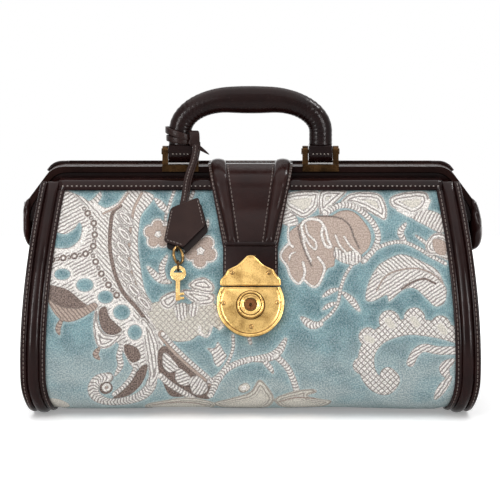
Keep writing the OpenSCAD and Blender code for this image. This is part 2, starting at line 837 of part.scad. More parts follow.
module wire_ring(r, wire) {
  rotate_extrude($fn = 64) translate([r, 0]) circle(d = wire, $fn = 24);
}
module clochette_ring() {
  color(brass)
  in_holder(ring_x, ring_s, chain_out) rotate([0, ring_turn, 0]) wire_ring(ring_r, ring_wire);
}
module key_ring() {
  color(brass)
  in_holder(ring_x, link_s, chain_out) rotate([0, 90, 0]) wire_ring(link_r, link_wire);
}

shaft_w = 3.6;
bit_w = 3.2;
bit_l = 2;
bit_pitch = 3.4;
bit_low = 1;

// Flat key: round bow with a hole, shaft and a stepped bit
module key() {
  color(brass)
  in_holder(ring_x, bow_s, chain_out - key_t / 2) linear_extrude(key_t) difference() {
    union() {
      circle(r = bow_r, $fn = 64);
      translate([-shaft_w / 2, -bow_r - key_shaft]) square([shaft_w, key_shaft + bow_r / 2]);
      for (i = [0, 1]) translate([0, -bow_r - key_shaft + bit_low + i * bit_pitch])
        square([shaft_w / 2 + bit_w, bit_l]);
    }
    circle(r = bow_hole_r, $fn = 48);
  }
}

// Lace: a loop round the left leg of the handle and a run down to the leaves
loop_gap = 0.4;
loop_rise = 13;
loop_r = grip_d / 2 + loop_gap + lace_t / 2;
loop_z = pin_z + loop_rise;
loop_tilt = 3;
loop_steps = 20;
lace_top = [-46.5, -17.5, loop_z - 3.5];
lace_end = holder_point(-52, 38, leaf_t + 0.15);
lace_line = [
  lace_top, [-46.5, -22, 208], [-47, -27.5, 200], [-48.5, -32.5, 192], [-50, -37, 184],
  [-51, -41.5, 176], lace_end
];

function loop_ring(a) = [
  for (q = [[-1, -1], [-1, 1], [1, 1], [1, -1]])
    let (r = loop_r + q[0] * lace_t / 2)
    [-handle_x + r * cos(a), -handle_front + r * sin(a), loop_z - loop_tilt * cos(a) + q[1] * lace_w / 2]
];
// Flat section of the hanging run, square to its way in the Y-Z plane
function run_ring(i) =
  let (
    a = lace_line[max(0, i - 1)], b = lace_line[min(len(lace_line) - 1, i + 1)],
    u = unit([b[1] - a[1], b[2] - a[2]]), p = lace_line[i]
  )
  [for (q = [[-1, -1], [1, -1], [1, 1], [-1, 1]])
    let (h = q[1] * lace_t / 2) [p[0] + q[0] * lace_w / 2, p[1] + h * u[1], p[2] - h * u[0]]];

module clochette_strap() {
  color(leather) union() {
    skin([for (i = [0:loop_steps - 1]) loop_ring(360 * i / loop_steps)], closed = true);
    skin([for (i = [0:len(lace_line) - 1]) run_ring(i)]);
  }
}

brocade_body();
lining();
base_board();
left_binding();
right_binding();
left_gusset();
right_gusset();
back_frame();
back_trim();
hinge_pins();
left_bracket();
right_bracket();
handle_pins();
tab_anchor();
lock_plate();
lock_rivets();
lock_ring();
lock_backplate();
lock_button();
lock_plug();
front_frame();
front_trim();
tab_strap();
tab_ridges();
tab_band();
hasp_plate();
hasp_rivets();
handle_grip();
left_handle_end();
right_handle_end();
clochette_strap();
clochette_front();
clochette_back();
clochette_ring();
key_ring();
key();
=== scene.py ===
import functools
import math

import bmesh
import bpy
import numpy as np
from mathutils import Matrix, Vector


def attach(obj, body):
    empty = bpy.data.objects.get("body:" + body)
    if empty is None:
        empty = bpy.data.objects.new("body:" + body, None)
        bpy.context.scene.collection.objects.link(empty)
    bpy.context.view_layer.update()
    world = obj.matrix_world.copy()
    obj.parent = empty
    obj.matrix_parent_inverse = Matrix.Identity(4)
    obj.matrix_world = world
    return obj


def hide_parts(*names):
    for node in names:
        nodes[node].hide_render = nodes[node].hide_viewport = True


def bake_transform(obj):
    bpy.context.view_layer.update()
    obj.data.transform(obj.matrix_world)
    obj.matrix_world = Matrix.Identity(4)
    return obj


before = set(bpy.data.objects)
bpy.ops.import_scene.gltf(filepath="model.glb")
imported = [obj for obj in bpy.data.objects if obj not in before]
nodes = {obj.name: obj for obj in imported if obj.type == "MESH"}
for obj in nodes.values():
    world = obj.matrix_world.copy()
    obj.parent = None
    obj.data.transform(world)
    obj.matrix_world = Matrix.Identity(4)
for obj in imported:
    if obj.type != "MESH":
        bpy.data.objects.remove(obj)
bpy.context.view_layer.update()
mm = 0.001
print("frame loaded:", len(nodes), "nodes")

# sizes of the bag in millimetres, as the frame has them
bag = dict(
    width=360, depth=164, height=183, baseDepth=76, mouthDepth=58, bellyRise=98, bellyLean=12,
    lift=4, mouthTaper=14, endTuck=8, tuckHeight=35, seamInset=8.5, lockHeight=93, lockRadius=26.4,
    frameTop=194.3,
)


# Mesh helpers

def gridFaces(rows, cols, wrapRows=False, wrapCols=False, flip=False):
    # quads of a grid of points, row after row; a wrapped way joins its last line to its first
    i = np.arange(rows if wrapRows else rows - 1)[:, None]
    j = np.arange(cols if wrapCols else cols - 1)[None, :]
    iNext = (i + 1) % rows
    jNext = (j + 1) % cols
    quads = np.stack([i * cols + j, i * cols + jNext, iNext * cols + jNext, iNext * cols + j], -1)
    quads = quads.reshape(-1, 4)
    return quads[:, ::-1] if flip else quads


def editMesh(mesh, merge=0, flatten=0, outward=False):
    # joins points nearer than a distance in mm, melts edges flatter than an angle, turns faces outwards
    work = bmesh.new()
    work.from_mesh(mesh)
    if merge:
        bmesh.ops.remove_doubles(work, verts=work.verts, dist=merge * mm)
    if flatten:
        bmesh.ops.dissolve_limit(work, angle_limit=math.radians(flatten), verts=work.verts, edges=work.edges)
    if outward:
        bmesh.ops.recalc_face_normals(work, faces=work.faces)
    work.to_mesh(mesh)
    work.free()


def makePiece(name, parts, materials, facts=None, outward=False, smooth=True):
    # parts are (points in mm, list of face arrays, material index), joined to one mesh at the origin
    points, faces, slots, start = [], [], [], 0
    for partPoints, partFaces, slot in parts:
        flat = np.asarray(partPoints, float).reshape(-1, 3)
        for block in partFaces:
            block = np.asarray(block)
            faces += (block + start).tolist()
            slots += [slot] * len(block)
        points.append(flat)
        start += len(flat)
    mesh = bpy.data.meshes.new(name)
    mesh.from_pydata((np.concatenate(points) * mm).tolist(), [], faces)
    mesh.polygons.foreach_set("material_index", np.array(slots, np.int32))
    mesh.polygons.foreach_set("use_smooth", np.full(len(faces), smooth))
    for key, values in (facts or {}).items():
        attribute = mesh.attributes.new(key, "FLOAT", "POINT")
        attribute.data.foreach_set("value", np.asarray(values, np.float32).ravel())
    if outward:
        editMesh(mesh, outward=True)
    mesh.update()
    for material in materials:
        mesh.materials.append(material)
    piece = bpy.data.objects.new(name, mesh)
    bpy.context.scene.collection.objects.link(piece)
    return piece


def finishPiece(piece, body, slot, *replaced):
    # a piece of the body "mouth" has its place baked into its mesh, one with another body is attached to it,
    # and one without a body is left as it is
    if body == "mouth":
        bendWithMouth(piece)
    elif body:
        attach(piece, body)
    if replaced:
        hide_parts(*replaced)
    return piece


def unit(v):
    return v / np.maximum(np.linalg.norm(v, axis=-1, keepdims=True), 1e-9)


def arcLength(path):
    return np.concatenate([[0], np.cumsum(np.linalg.norm(np.diff(path, axis=0), axis=1))])


def resample(path, count):
    # the same line in equal steps
    path = np.asarray(path, float)
    length = arcLength(path)
    at = np.linspace(0, length[-1], count)
    return np.stack([np.interp(at, length, path[:, k]) for k in range(path.shape[1])], -1)


def smoothLine(points, closed=False, steps=8):
    # Catmull-Rom line through the points
    p = np.asarray(points, float)
    n = len(p)
    if closed:
        q = np.concatenate([p[-1:], p, p[:2]])
        spans = n
    else:
        q = np.concatenate([2 * p[:1] - p[1:2], p, 2 * p[-1:] - p[-2:-1]])
        spans = n - 1
    t = (np.arange(steps) / steps)[None, :, None]
    a, b, c, d = (q[k:k + spans][:, None, :] for k in range(4))
    square = 2 * a - 5 * b + 4 * c - d
    cube = 3 * b - a - 3 * c + d
    line = 0.5 * (2 * b + (c - a) * t + square * t ** 2 + cube * t ** 3)
    line = line.reshape(-1, p.shape[1])
    return line if closed else np.concatenate([line, p[-1:]])


def tangents(path, closed=False):
    if closed:
        return unit(np.roll(path, -1, 0) - np.roll(path, 1, 0))
    return unit(np.gradient(path, axis=0))


def sweep(path, side, up, profile):
    # profile (across, above) carried along a path: point + across * side + above * up
    profile = np.asarray(profile, float)
    if profile.ndim == 2:
        profile = np.broadcast_to(profile, (len(path),) + profile.shape)
    return path[:, None, :] + profile[..., :1] * side[:, None, :] + profile[..., 1:] * up[:, None, :]


def tube(points, closedPath=False):
    # a swept closed profile as a part: its walls, with a flat cap at each open end
    rows, cols = points.shape[:2]
    faces = [gridFaces(rows, cols, wrapRows=closedPath, wrapCols=True)]
    if not closedPath:
        faces += [np.arange(cols)[None, ::-1], (rows - 1) * cols + np.arange(cols)[None, :]]
    return points, faces, 0


def circle(turn):
    return np.stack([np.cos(turn), np.sin(turn)], -1)


def roundedBox(halfW, halfH, radius, steps=4):
    # closed profile of a box with rounded corners
    a = np.linspace(0, math.pi / 2, steps + 1)
    corners = []
    for k, (sx, sy) in enumerate([(1, 1), (-1, 1), (-1, -1), (1, -1)]):
        turn = a + k * math.pi / 2
        centre = np.array([sx * (halfW - radius), sy * (halfH - radius)])
        corners.append(centre + radius * circle(turn))
    return np.concatenate(corners)


# one stitch: a low hump of thread with tapered ends, in its own length, width and height
stitch = dict(pitch=3.5, width=0.9, height=0.5, sunk=0.12)


def stitchRow(path, up, pitch=None, part=0.77, skip=0.5):
    # thread humps in equal steps along a line, each as long as a part of its step;
    # up is the surface's outward way at each of the line's points
    pitch = pitch or stitch["pitch"]
    path, up = np.asarray(path, float), np.asarray(up, float)
    length = arcLength(path)
    count = max(1, int((length[-1] - 2 * skip) / pitch))
    at = skip + (np.arange(count) + 0.5) * (length[-1] - 2 * skip) / count
    pick = lambda values: np.stack([np.interp(at, length, values[:, k]) for k in range(3)], -1)
    centre, along, out = pick(path), unit(pick(tangents(path))), unit(pick(up))
    across = unit(np.cross(out, along))
    turn = np.linspace(0, math.pi, 5)
    ring = np.stack([np.zeros(5), np.cos(turn), np.sin(turn)], -1)
    rows = [(-0.5, 0.35), (-0.3, 0.9), (0, 1), (0.3, 0.9), (0.5, 0.35)]
    hump = np.stack([ring * [1, r, r] + [x, 0, 0] for x, r in rows])
    size = np.array([part * pitch, stitch["width"] / 2, stitch["height"]])
    hump = (hump * size).reshape(-1, 3)
    hump[:, 2] -= stitch["sunk"]
    points = (
        centre[:, None] + hump[None, :, :1] * along[:, None]
        + hump[None, :, 1:2] * across[:, None] + hump[None, :, 2:] * out[:, None]
    )
    one = gridFaces(5, 5, flip=True)
    faces = (one[None] + (np.arange(count) * 25)[:, None, None]).reshape(-1, 4)
    return points.reshape(-1, 3), [faces], 1


# Materials

def linear(hexColour):
    # sRGB hex to linear RGBA
    value = np.array([int(hexColour[k:k + 2], 16) for k in (1, 3, 5)]) / 255
    value = np.where(value <= 0.04045, value / 12.92, ((value + 0.055) / 1.055) ** 2.4)
    return (*value.tolist(), 1.0)


def fill(tree, made, sockets):
    # gives a node's sockets, by name or number, a number, a hex colour or another node's output
    for key, value in sockets.items():
        if isinstance(value, bpy.types.NodeSocket):
            tree.links.new(value, made.inputs[key])
        else:
            made.inputs[key].default_value = linear(value) if isinstance(value, str) else value


def node(tree, kind, *values, named=None, out=0, **settings):
    # adds one node with its settings and links, and gives one of its outputs
    made = tree.nodes.new("ShaderNode" + kind)
    for key, value in settings.items():
        setattr(made, key, value)
    fill(tree, made, {**dict(enumerate(values)), **(named or {})})
    return made.outputs[out] if len(made.outputs) else made


def newMaterial(name):
    material = bpy.data.materials.new(name)
    material.use_nodes = True
    tree = material.node_tree
    tree.nodes.clear()
    surface = node(tree, "BsdfPrincipled")
    node(tree, "OutputMaterial", surface)
    return material, tree, surface.node


def smoothLeather(name, dark, light, rough, grain=0.9, bump=0.12, level=0.1):
    # box calf: vegetable-tanned skin, dyed and glazed, so a fine pebble shows only in the gloss,
    # with soft cloudy dye and lighter rubbed places
    material, tree, shader = newMaterial(name)
    place = node(tree, "TexCoord", out="Object")
    cloud = node(tree, "TexNoise", named={"Vector": place, "Scale": 1 / (28 * mm), "Detail": 4})
    share = node(tree, "MapRange", cloud, 0.3, 0.75)
    colour = node(tree, "Mix", share, named={6: dark, 7: light}, out=2, data_type="RGBA")
    pebble = node(tree, "TexVoronoi", named={"Vector": place, "Scale": 1 / (grain * mm)})
    crease = node(tree, "TexNoise", named={"Vector": place, "Scale": 1 / (5 * mm), "Detail": 6})
    mixed = node(tree, "Math", pebble, crease, operation="ADD")
    relief = node(tree, "Bump", named={"Height": mixed, "Strength": bump, "Distance": 0.4 * mm})
    gloss = node(tree, "MapRange", crease, 0.3, 0.7, rough - 0.06, rough + 0.08)
    fill(tree, shader, {
        "Base Color": colour, "Normal": relief, "Roughness": gloss, "Specular IOR Level": level})
    return material


def antiqueBrass(name, pit, face, rough):
    # cast brass with an aged gilt finish: bright worn faces, browner specks and hollows
    material, tree, shader = newMaterial(name)
    place = node(tree, "TexCoord", out="Object")
    fleck = node(tree, "TexNoise", named={
        "Vector": place, "Scale": 1 / (1.1 * mm), "Detail": 5, "Roughness": 0.65})
    cloud = node(tree, "TexNoise", named={"Vector": place, "Scale": 1 / (11 * mm), "Detail": 3})
    mixed = node(tree, "Math", fleck, cloud, operation="MULTIPLY")
    share = node(tree, "MapRange", mixed, 0.1, 0.3)
    colour = node(tree, "Mix", share, named={6: pit, 7: face}, out=2, data_type="RGBA")
    gloss = node(tree, "MapRange", fleck, 0.3, 0.7, rough + 0.1, rough - 0.06)
    relief = node(tree, "Bump", named={"Height": fleck, "Strength": 0.12, "Distance": 0.15 * mm})
    fill(tree, shader, {"Base Color": colour, "Roughness": gloss, "Normal": relief, "Metallic": 1})
    return material


def wovenCloth(name, dark, light, pitch):
    # plain-woven cotton drill: crossing threads seen as a fine check, dull all over
    material, tree, shader = newMaterial(name)
    place = node(tree, "TexCoord", out="Object")
    wave = {"Vector": place, "Scale": waveLength / (pitch * mm), "Distortion": 1.2}
    threads = [node(tree, "TexWave", named=wave, out="Fac", bands_direction=way) for way in ("X", "Z")]
    weave = node(tree, "Math", *threads, operation="MULTIPLY")
    share = node(tree, "MapRange", weave, 0.0, 0.7)
    colour = node(tree, "Mix", share, named={6: dark, 7: light}, out=2, data_type="RGBA")
    relief = node(tree, "Bump", named={"Height": weave, "Strength": 0.3, "Distance": 0.3 * mm})
    fill(tree, shader, {"Base Color": colour, "Normal": relief, "Roughness": 0.9, "Sheen Weight": 0.2})
    return material


def waxedThread(name, dark, light):
    # twisted polyester thread, waxed: thin slanting plies with a slight shine
    material, tree, shader = newMaterial(name)
    place = node(tree, "TexCoord", out="Object")
    wave = {"Vector": place, "Scale": waveLength / (0.7 * mm), "Distortion": 2}
    ply = node(tree, "TexWave", named=wave, out="Fac", bands_direction="DIAGONAL")
    share = node(tree, "MapRange", ply, 0.2, 0.8)
    colour = node(tree, "Mix", share, named={6: dark, 7: light}, out=2, data_type="RGBA")
    fill(tree, shader, {"Base Color": colour, "Roughness": 0.45})
    return material


# a wave texture of scale 1 repeats about every 0.31 of a unit
waveLength = 0.31
glazedCalf = smoothLeather("glazed_calf", "#170a09", "#261210", 0.16)
softCalf = smoothLeather("soft_calf", "#1d0e0d", "#2e1815", 0.19, bump=0.14)
plateCalf = smoothLeather("plate_calf", "#1d100e", "#2c1a17", 0.3, level=0.025)
gussetCalf = smoothLeather("gusset_calf", "#180a09", "#26110f", 0.3, bump=0.25)
cutEdge = smoothLeather("painted_edge", "#0e0807", "#1a0e0c", 0.4, bump=0.05)
laceCalf = smoothLeather("lace_calf", "#211210", "#31201c", 0.34, bump=0.2)
handleCalf = smoothLeather("handle_calf", "#160a0a", "#25120f", 0.22, grain=1.3, bump=0.18)
thread = waxedThread("brown_waxed_thread", "#33241f", "#6d5c54")
paleThread = waxedThread("pale_waxed_thread", "#6a5e57", "#a99e95")
gilt = antiqueBrass("antique_gilt_brass", "#6f5126", "#cba86a", 0.3)
agedBrass = antiqueBrass("aged_bronze_brass", "#150d07", "#402d1a", 0.28)
wornBrass = antiqueBrass("worn_brass", "#3a2917", "#8f7247", 0.26)
plugBrass = antiqueBrass("reddened_brass", "#35190d", "#7a5233", 0.3)
keyBrass = antiqueBrass("polished_brass", "#8f6c38", "#d6b87e", 0.2)
liningDrill = wovenCloth("cotton_drill", "#6d5b4b", "#8d7a66", 0.9)
greyBoard = wovenCloth("bookbinding_board", "#5c4a3a", "#6f5b48", 1.4)
print("materials made")


# Shape of the body

def frontLine():
    # from the bottom's middle to its front edge, then the Bezier curve of the front panel up to the mouth
    reach = (4 * bag["depth"] - bag["baseDepth"] / 2 - bag["mouthDepth"] / 2) / 3
    p = np.array([
        [-bag["baseDepth"] / 2, bag["lift"]], [-(reach + bag["bellyLean"]) / 2, bag["lift"]],
        [-(reach - bag["bellyLean"]) / 2, bag["bellyRise"]], [-bag["mouthDepth"] / 2, bag["height"]]])
    t = np.linspace(0, 1, 1500)[:, None]
    curve = (1 - t) ** 3 * p[0] + 3 * t * (1 - t) ** 2 * p[1] + 3 * t ** 2 * (1 - t) * p[2] + t ** 3 * p[3]
    flat = np.stack([np.linspace(0, p[0, 0], 60), np.full(60, bag["lift"])], -1)
    return np.concatenate([flat[:-1], curve])


panelLine = frontLine()
panelArc = arcLength(panelLine)
panelWay = tangents(panelLine)
panelOut = np.stack([-panelWay[:, 1], panelWay[:, 0]], -1)
flatArc = bag["baseDepth"] / 2


def halfWidth(z):
    # half width over the bindings: it narrows with the square of the height, and tucks in at the bottom
    rise = np.maximum(0, z - bag["tuckHeight"]) / (bag["height"] - bag["tuckHeight"])
    taper = bag["mouthTaper"] * rise ** 2
    tuck = bag["endTuck"] * np.maximum(0, 1 - z / bag["tuckHeight"]) ** 2
    return bag["width"] / 2 - taper - tuck


def arcAt(z):
    return np.interp(z, panelLine[60:, 1], panelArc[60:])


def panelAt(arc, out=0.0):
    # depth and height of the panel at a length along it, moved outwards, and its outward way
    normal = unit(np.stack([np.interp(arc, panelArc, panelOut[:, k]) for k in range(2)], -1))
    point = np.stack([np.interp(arc, panelArc, panelLine[:, k]) for k in range(2)], -1)
    return point + np.asarray(out)[..., None] * normal, normal


def onPanel(x, arc, out=0.0):
    # point on the front at a place across, a length along and a height above the cloth
    x, arc, out = np.broadcast_arrays(np.asarray(x, float), np.asarray(arc, float), np.asarray(out, float))
    yz, _ = panelAt(arc, out)
    return np.stack([x, yz[..., 0], yz[..., 1]], -1)


def toBack(points):
    return points * [1, -1, 1]


# Ornament of the brocade: fields and bands in millimetres across and up the front, as it is seen from
# a little above. Each is a tone, its ribs (the angle of straight ribs, "cross" for ribs across a band,
# "round" for ribs along its edge, "hatch" for a lattice) and its half width, which is 0 for a closed field;
# later ones lie over earlier ones.
ornament = [
    # great leaf field on the left, and its part with rising ribs
    ("cream", -47, 0, [(-170, 180), (-82, 177), (-88, 157), (-90, 137), (-88, 119), (-84, 99), (-75, 84),
        (-70, 66), (-72, 47), (-92, 37), (-103, 53), (-114, 69), (-124, 83), (-143, 90), (-172, 102)]),
    ("cream", 27, 0, [(-151, 181), (-133, 166), (-125, 151), (-124, 133), (-121, 116), (-111, 97),
        (-98, 81), (-82, 61), (-74, 47), (-92, 37), (-103, 53), (-114, 69), (-124, 83), (-143, 90),
        (-172, 102), (-174, 140), (-172, 181)]),
    ("velvet", None, 0, [(-149, 181), (-120, 181), (-123, 175), (-129, 170), (-134, 173), (-141, 176)]),
    ("velvet", None, 0, [(-118, 181), (-99, 181), (-103, 172), (-109, 167), (-117, 164), (-122, 167),
        (-119, 173)]),
    ("velvet", None, 0, [(-157, 145), (-148, 144), (-141, 148), (-137, 153), (-135, 149), (-137, 140),
        (-144, 134), (-151, 133), (-158, 135)]),
    ("cream", None, 1.5, [(-124, 167), (-116, 163), (-106, 167), (-99, 176)]),
    ("cream", None, 1.3, [(-158, 132), (-146, 131), (-136, 137), (-132, 148)]),
    # scalloped stem lines and their hooks
    ("dark", None, 1.5, [(-104, 166), (-110, 161), (-112, 149), (-112.5, 133), (-110, 119), (-107, 109),
        (-101, 97), (-91, 86), (-82, 74)]),
    ("taupe", None, 1.1, [(-87, 176), (-93, 164), (-95.5, 151), (-97, 137), (-97, 124), (-95, 113),
        (-90, 101), (-83, 91), (-75, 82)]),
    ("taupe", None, 0.8, [(-98, 176), (-106, 166), (-118, 160)]),
    # dark hanging buds below the row of eyes
    ("dark", None, 0, [(-166, 104), (-148, 101), (-136, 92), (-129, 86), (-138, 85), (-151, 87),
        (-162, 93)]),
    ("taupe", -50, 0, [(-162, 93), (-151, 87), (-136, 86), (-125, 90), (-123, 86), (-133, 79), (-143, 75),
        (-151, 76), (-158, 83)]),
    ("taupe", "cross", 2.3, [(-151, 77), (-154, 70), (-153, 65)]),
    ("dark", None, 0, [(-121, 84), (-116, 87), (-113, 79), (-107, 73), (-103, 68), (-111, 64), (-118, 68),
        (-121, 76)]),
    ("cream", "round", 0, [(-125, 82), (-126, 69), (-124, 59), (-121, 54), (-114, 54), (-106, 60),
        (-102, 66), (-111, 64.5), (-118, 67), (-122, 76), (-122, 84)]),
    ("taupe", "cross", 2.4, [(-121, 54), (-124, 49), (-121, 45)]),
    ("dark", None, 0, [(-100, 57), (-91, 54), (-88, 46), (-94, 42), (-99, 47), (-101, 52)]),
    ("cream", "cross", 2.6, [(-103, 58), (-105, 48), (-104, 40), (-108, 32)]),
    # hooked band with its spindle and spiral
    ("cream", "cross", 4.4, [(-79, 26), (-81, 21), (-88, 14), (-101, 8.5), (-114, 8), (-123, 13.5),
        (-126, 21), (-122, 28), (-114, 30)]),
    ("cream", "round", 5.6, [(-86, 76), (-81, 64), (-78, 49), (-77, 34), (-80, 24)]),
    ("dark", None, 0, [(-110, 12), (-98, 14.5), (-89, 22), (-84, 31), (-82.5, 40), (-87, 39), (-94, 31),
        (-101, 22), (-107, 16)]),
    ("cream", "cross", 2.0, [(-109, 16), (-101, 23), (-95, 31), (-91, 40)]),
    ("dark", None, 4.9, [(-116, 21), (-115, 21.5)]),
    ("cream", None, 3.4, [(-115.6, 21.4), (-115, 21.8)]),
    ("taupe", None, 1.2, [(-115.4, 21.5), (-115, 21.7)]),
    # lattice ground and pale petals by the key
    ("beige", "hatch", 0, [(-83, 86), (-74, 91), (-63, 89), (-48, 89), (-32, 91), (-25, 85), (-22, 74),
        (-25, 69), (-31, 71), (-36, 63), (-42, 64), (-48, 60), (-59, 59), (-66, 62), (-73, 66),
        (-80, 77)]),
    ("cream", "round", 0, [(-73, 93), (-66, 98), (-58, 99), (-58, 91), (-64, 85), (-70, 86)]),
    ("cream", "round", 0, [(-56, 99), (-48, 101), (-40, 100), (-29, 97), (-29, 91), (-36, 88),
        (-44, 89)]),
    ("cream", 95, 0, [(-61, 85), (-58, 76), (-52, 78), (-50, 85), (-52, 90), (-59, 89)]),
    ("cream", 85, 0, [(-50, 86), (-48, 79), (-43, 81), (-42, 89), (-47, 90)]),
    ("cream", "round", 0, [(-44, 109), (-36, 110), (-29, 104), (-31, 98), (-44, 100), (-50, 104)]),
    ("cream", None, 1.0, [(-31, 71), (-33, 65), (-36, 63), (-40, 66), (-41, 71)]),
    ("cream", None, 1.0, [(-25, 69), (-22, 72), (-23, 78), (-27, 81)]),
    # rope border, lobes below it and the ropes that meet it
    ("dark", None, 0, [(-73, 53), (-63, 53), (-36, 26), (-31, 18), (-34, 11), (-48, 14), (-63, 14),
        (-70, 25), (-74, 39)]),
    ("taupe", None, 3.0, [(-71, 65), (-63, 55), (-53, 45), (-43, 36), (-34, 28), (-29, 22)]),
    ("cream", "cross", 1.9, [(-70, 65), (-62, 56), (-52, 46), (-42, 37), (-33, 29), (-28, 23)]),
    ("cream", -40, 0, [(-70, 49), (-66, 49), (-58, 39), (-59, 36), (-65, 34), (-70, 39)]),
    ("cream", 20, 0, [(-59, 37), (-54, 36), (-48, 30), (-48, 25), (-54, 23), (-60, 28)]),
    ("cream", 60, 0, [(-48, 29), (-42, 31), (-35, 24), (-35, 18), (-41, 15), (-47, 18)]),
    ("cream", "cross", 2.4, [(-72, 31), (-64, 24), (-55, 18), (-46, 12)]),
    ("cream", "cross", 1.4, [(-14, 64), (-14, 54), (-18, 43), (-25, 33), (-34, 26)]),
    ("cream", 40, 0, [(-35, 54), (-29, 54), (-26, 59), (-21, 51), (-19, 47), (-25, 39), (-29, 42),
        (-31, 49)]),
    ("cream", "cross", 2.6, [(-32, 15), (-27, 26), (-20, 36), (-10, 42), (0, 45)]),
    ("cream", "cross", 3.6, [(-1, 45), (8, 45.5), (16, 47), (23, 52), (28, 61)]),
    ("cream", "cross", 2.6, [(21, 47), (29, 39), (34, 29), (37, 19)]),
    ("cream", "cross", 2.3, [(10, 44), (15, 39), (18, 34)]),
    ("beige", "cross", 3.8, [(-6, 21), (-4, 22)]),
    ("cream", None, 2.0, [(-5.4, 21.4), (-5, 21.6)]),
    # half flowers along the bottom
    ("beige", "round", 0, [(-84, 4), (-69, 10), (-53, 13), (-38, 11), (-28, 4), (-36, -14), (-60, -20),
        (-80, -10)]),
    ("taupe", None, 0.7, [(-78, 3), (-62, 7), (-46, 6), (-34, 1)]),
    ("beige", "round", 0, [(-30, 5), (-17, 12), (-1, 18), (6, 28), (12, 25), (19, 11), (8, -6),
        (-14, -8)]),
    ("beige", "round", 0, [(19, 10), (31, 18), (49, 21), (53, 18), (46, 15), (56, 12), (65, 9), (56, -2),
        (34, -8)]),
    ("taupe", None, 0.6, [(22, 8), (36, 13), (52, 12)]),
    ("beige", None, 0, [(-164, 10), (-154, 12), (-146, 7), (-145, 0), (-156, -6), (-166, 0)]),
    # stems and leaflets between the flowers on the left
    ("cream", "cross", 1.3, [(-61, 178), (-65, 166), (-68, 156), (-66, 148)]),
    ("cream", "cross", 2.8, [(-76, 171), (-71, 166), (-66, 161)]),
    ("cream", "cross", 1.8, [(-45, 179), (-47, 174), (-51, 166)]),
    ("cream", "cross", 2.0, [(-34, 155), (-36, 147)]),
    ("cream", "cross", 3.0, [(-82, 118), (-73, 109), (-64, 106)]),
    ("cream", "cross", 2.6, [(-67, 127), (-71, 117), (-68, 107)]),
    # great flower on the right: pale back petals, taupe front petals and white curled edges
    ("cream", "round", 0, [(26, 175), (54, 178), (54, 165), (49, 159), (42, 156), (35, 159), (26, 165)]),
    ("cream", "round", 0, [(56, 178), (77, 178), (67, 167), (60, 161), (55, 160)]),
    ("cream", "round", 0, [(70, 165), (80, 176), (102, 176), (109, 165), (108, 155), (100, 158),
        (89, 164), (80, 166)]),
    ("cream", 20, 0, [(25, 164), (36, 158), (38, 151), (30, 150), (24, 154)]),
    ("taupe", None, 0, [(38, 151), (44, 156), (54, 158), (64, 158), (72, 162), (81, 162), (89, 156),
        (96, 145), (95, 134), (88, 127), (81, 122), (75, 126), (68, 125), (67, 119), (62, 117), (59, 112),
        (54, 104), (49, 103), (43, 108), (38, 105), (32, 111), (29, 119), (24, 126), (27, 133), (31, 137),
        (31, 145)]),
    ("cream", "cross", 2.4, [(60, 160), (71, 166), (82, 165.5), (91, 160), (99, 151), (102, 141),
        (98, 131), (90, 123)]),
    ("cream", 95, 0, [(68, 134), (75, 129), (81, 131), (89, 127), (85, 120), (75, 121), (67, 126)]),
    ("cream", None, 1.1, [(42, 143), (41, 151), (47, 155.5), (55, 154.5), (60, 148), (62, 140),
        (64.5, 134), (60, 135), (57, 143), (57.5, 149)]),
    ("cream", None, 0.9, [(44, 151), (46, 144), (52, 138), (52, 132), (47, 136), (42, 145)]),
    ("cream", None, 0.9, [(42, 145), (43.5, 135), (48.5, 123)]),
    ("cream", None, 1.0, [(31, 151), (30, 144), (31, 137), (34, 134)]),
    ("cream", None, 1.1, [(31, 137), (26, 132), (24, 126), (29, 119), (32, 111), (38, 105), (42, 109),
        (43.5, 115), (42, 122)]),
    ("cream", None, 1.1, [(42, 109), (49, 103), (54, 104), (58, 112), (59, 119), (54, 126)]),
    ("cream", None, 0.9, [(31, 123), (32, 128), (36, 130)]),
    ("cream", None, 0.9, [(68, 143), (71.5, 135), (77, 129)]),
    ("cream", None, 0.9, [(75, 142), (79.5, 135), (86, 129)]),
    ("dark", None, 0.6, [(54, 158), (70, 157), (79, 151), (83, 141), (87, 133)]),
    ("dark", None, 0.6, [(38, 150), (40, 140), (44, 129), (49, 119)]),
    # its stem and leaves
    ("cream", "cross", 1.4, [(82, 121), (76, 112), (72, 101), (70, 90), (64, 81), (55, 74)]),
    ("cream", "cross", 3.4, [(57, 73), (49, 72.5), (41, 78)]),
    ("cream", "cross", 2.2, [(70, 101), (64, 99), (58, 95)]),
    ("cream", "cross", 2.1, [(68, 90), (63, 88), (58, 85)]),
    ("cream", "cross", 2.8, [(74, 98), (81, 92), (87, 84)]),
    # upper right corner
    ("cream", "round", 0, [(112, 173), (124, 177), (140, 177), (143, 169), (139, 162), (129, 158),
        (120, 162), (112, 166)]),
    ("cream", None, 1.4, [(118, 163), (129, 158), (139, 162), (143, 170)]),
    ("cream", 62, 0, [(129, 158), (140, 163), (153, 159), (158, 150), (152, 145), (139, 151),
        (131, 155)]),
    ("cream", "cross", 1.6, [(92, 123), (100, 132), (112, 137), (123, 137.5), (134, 133), (144, 127),
        (156, 121)]),
    ("cream", "cross", 2.7, [(124, 152), (120, 145), (124, 138)]),
    ("cream", "cross", 1.6, [(132, 143), (139, 138), (146, 132)]),
    ("cream", "round", 0, [(140, 137), (148, 145), (160, 141), (160, 124), (149, 127), (142, 129)]),
    ("taupe", None, 0, [(146, 140), (156, 138), (156, 128), (148, 130)]),
    # ribbed acanthus leaf
    ("cream", 33, 0, [(92, 93), (94, 105), (101, 118), (113, 126), (123, 128), (139, 122), (150, 115),
        (155, 105), (157, 99), (155, 90), (148, 87), (141, 93), (132, 101), (124, 101), (118, 97),
        (111, 91), (109, 96), (104, 94), (97, 91)]),
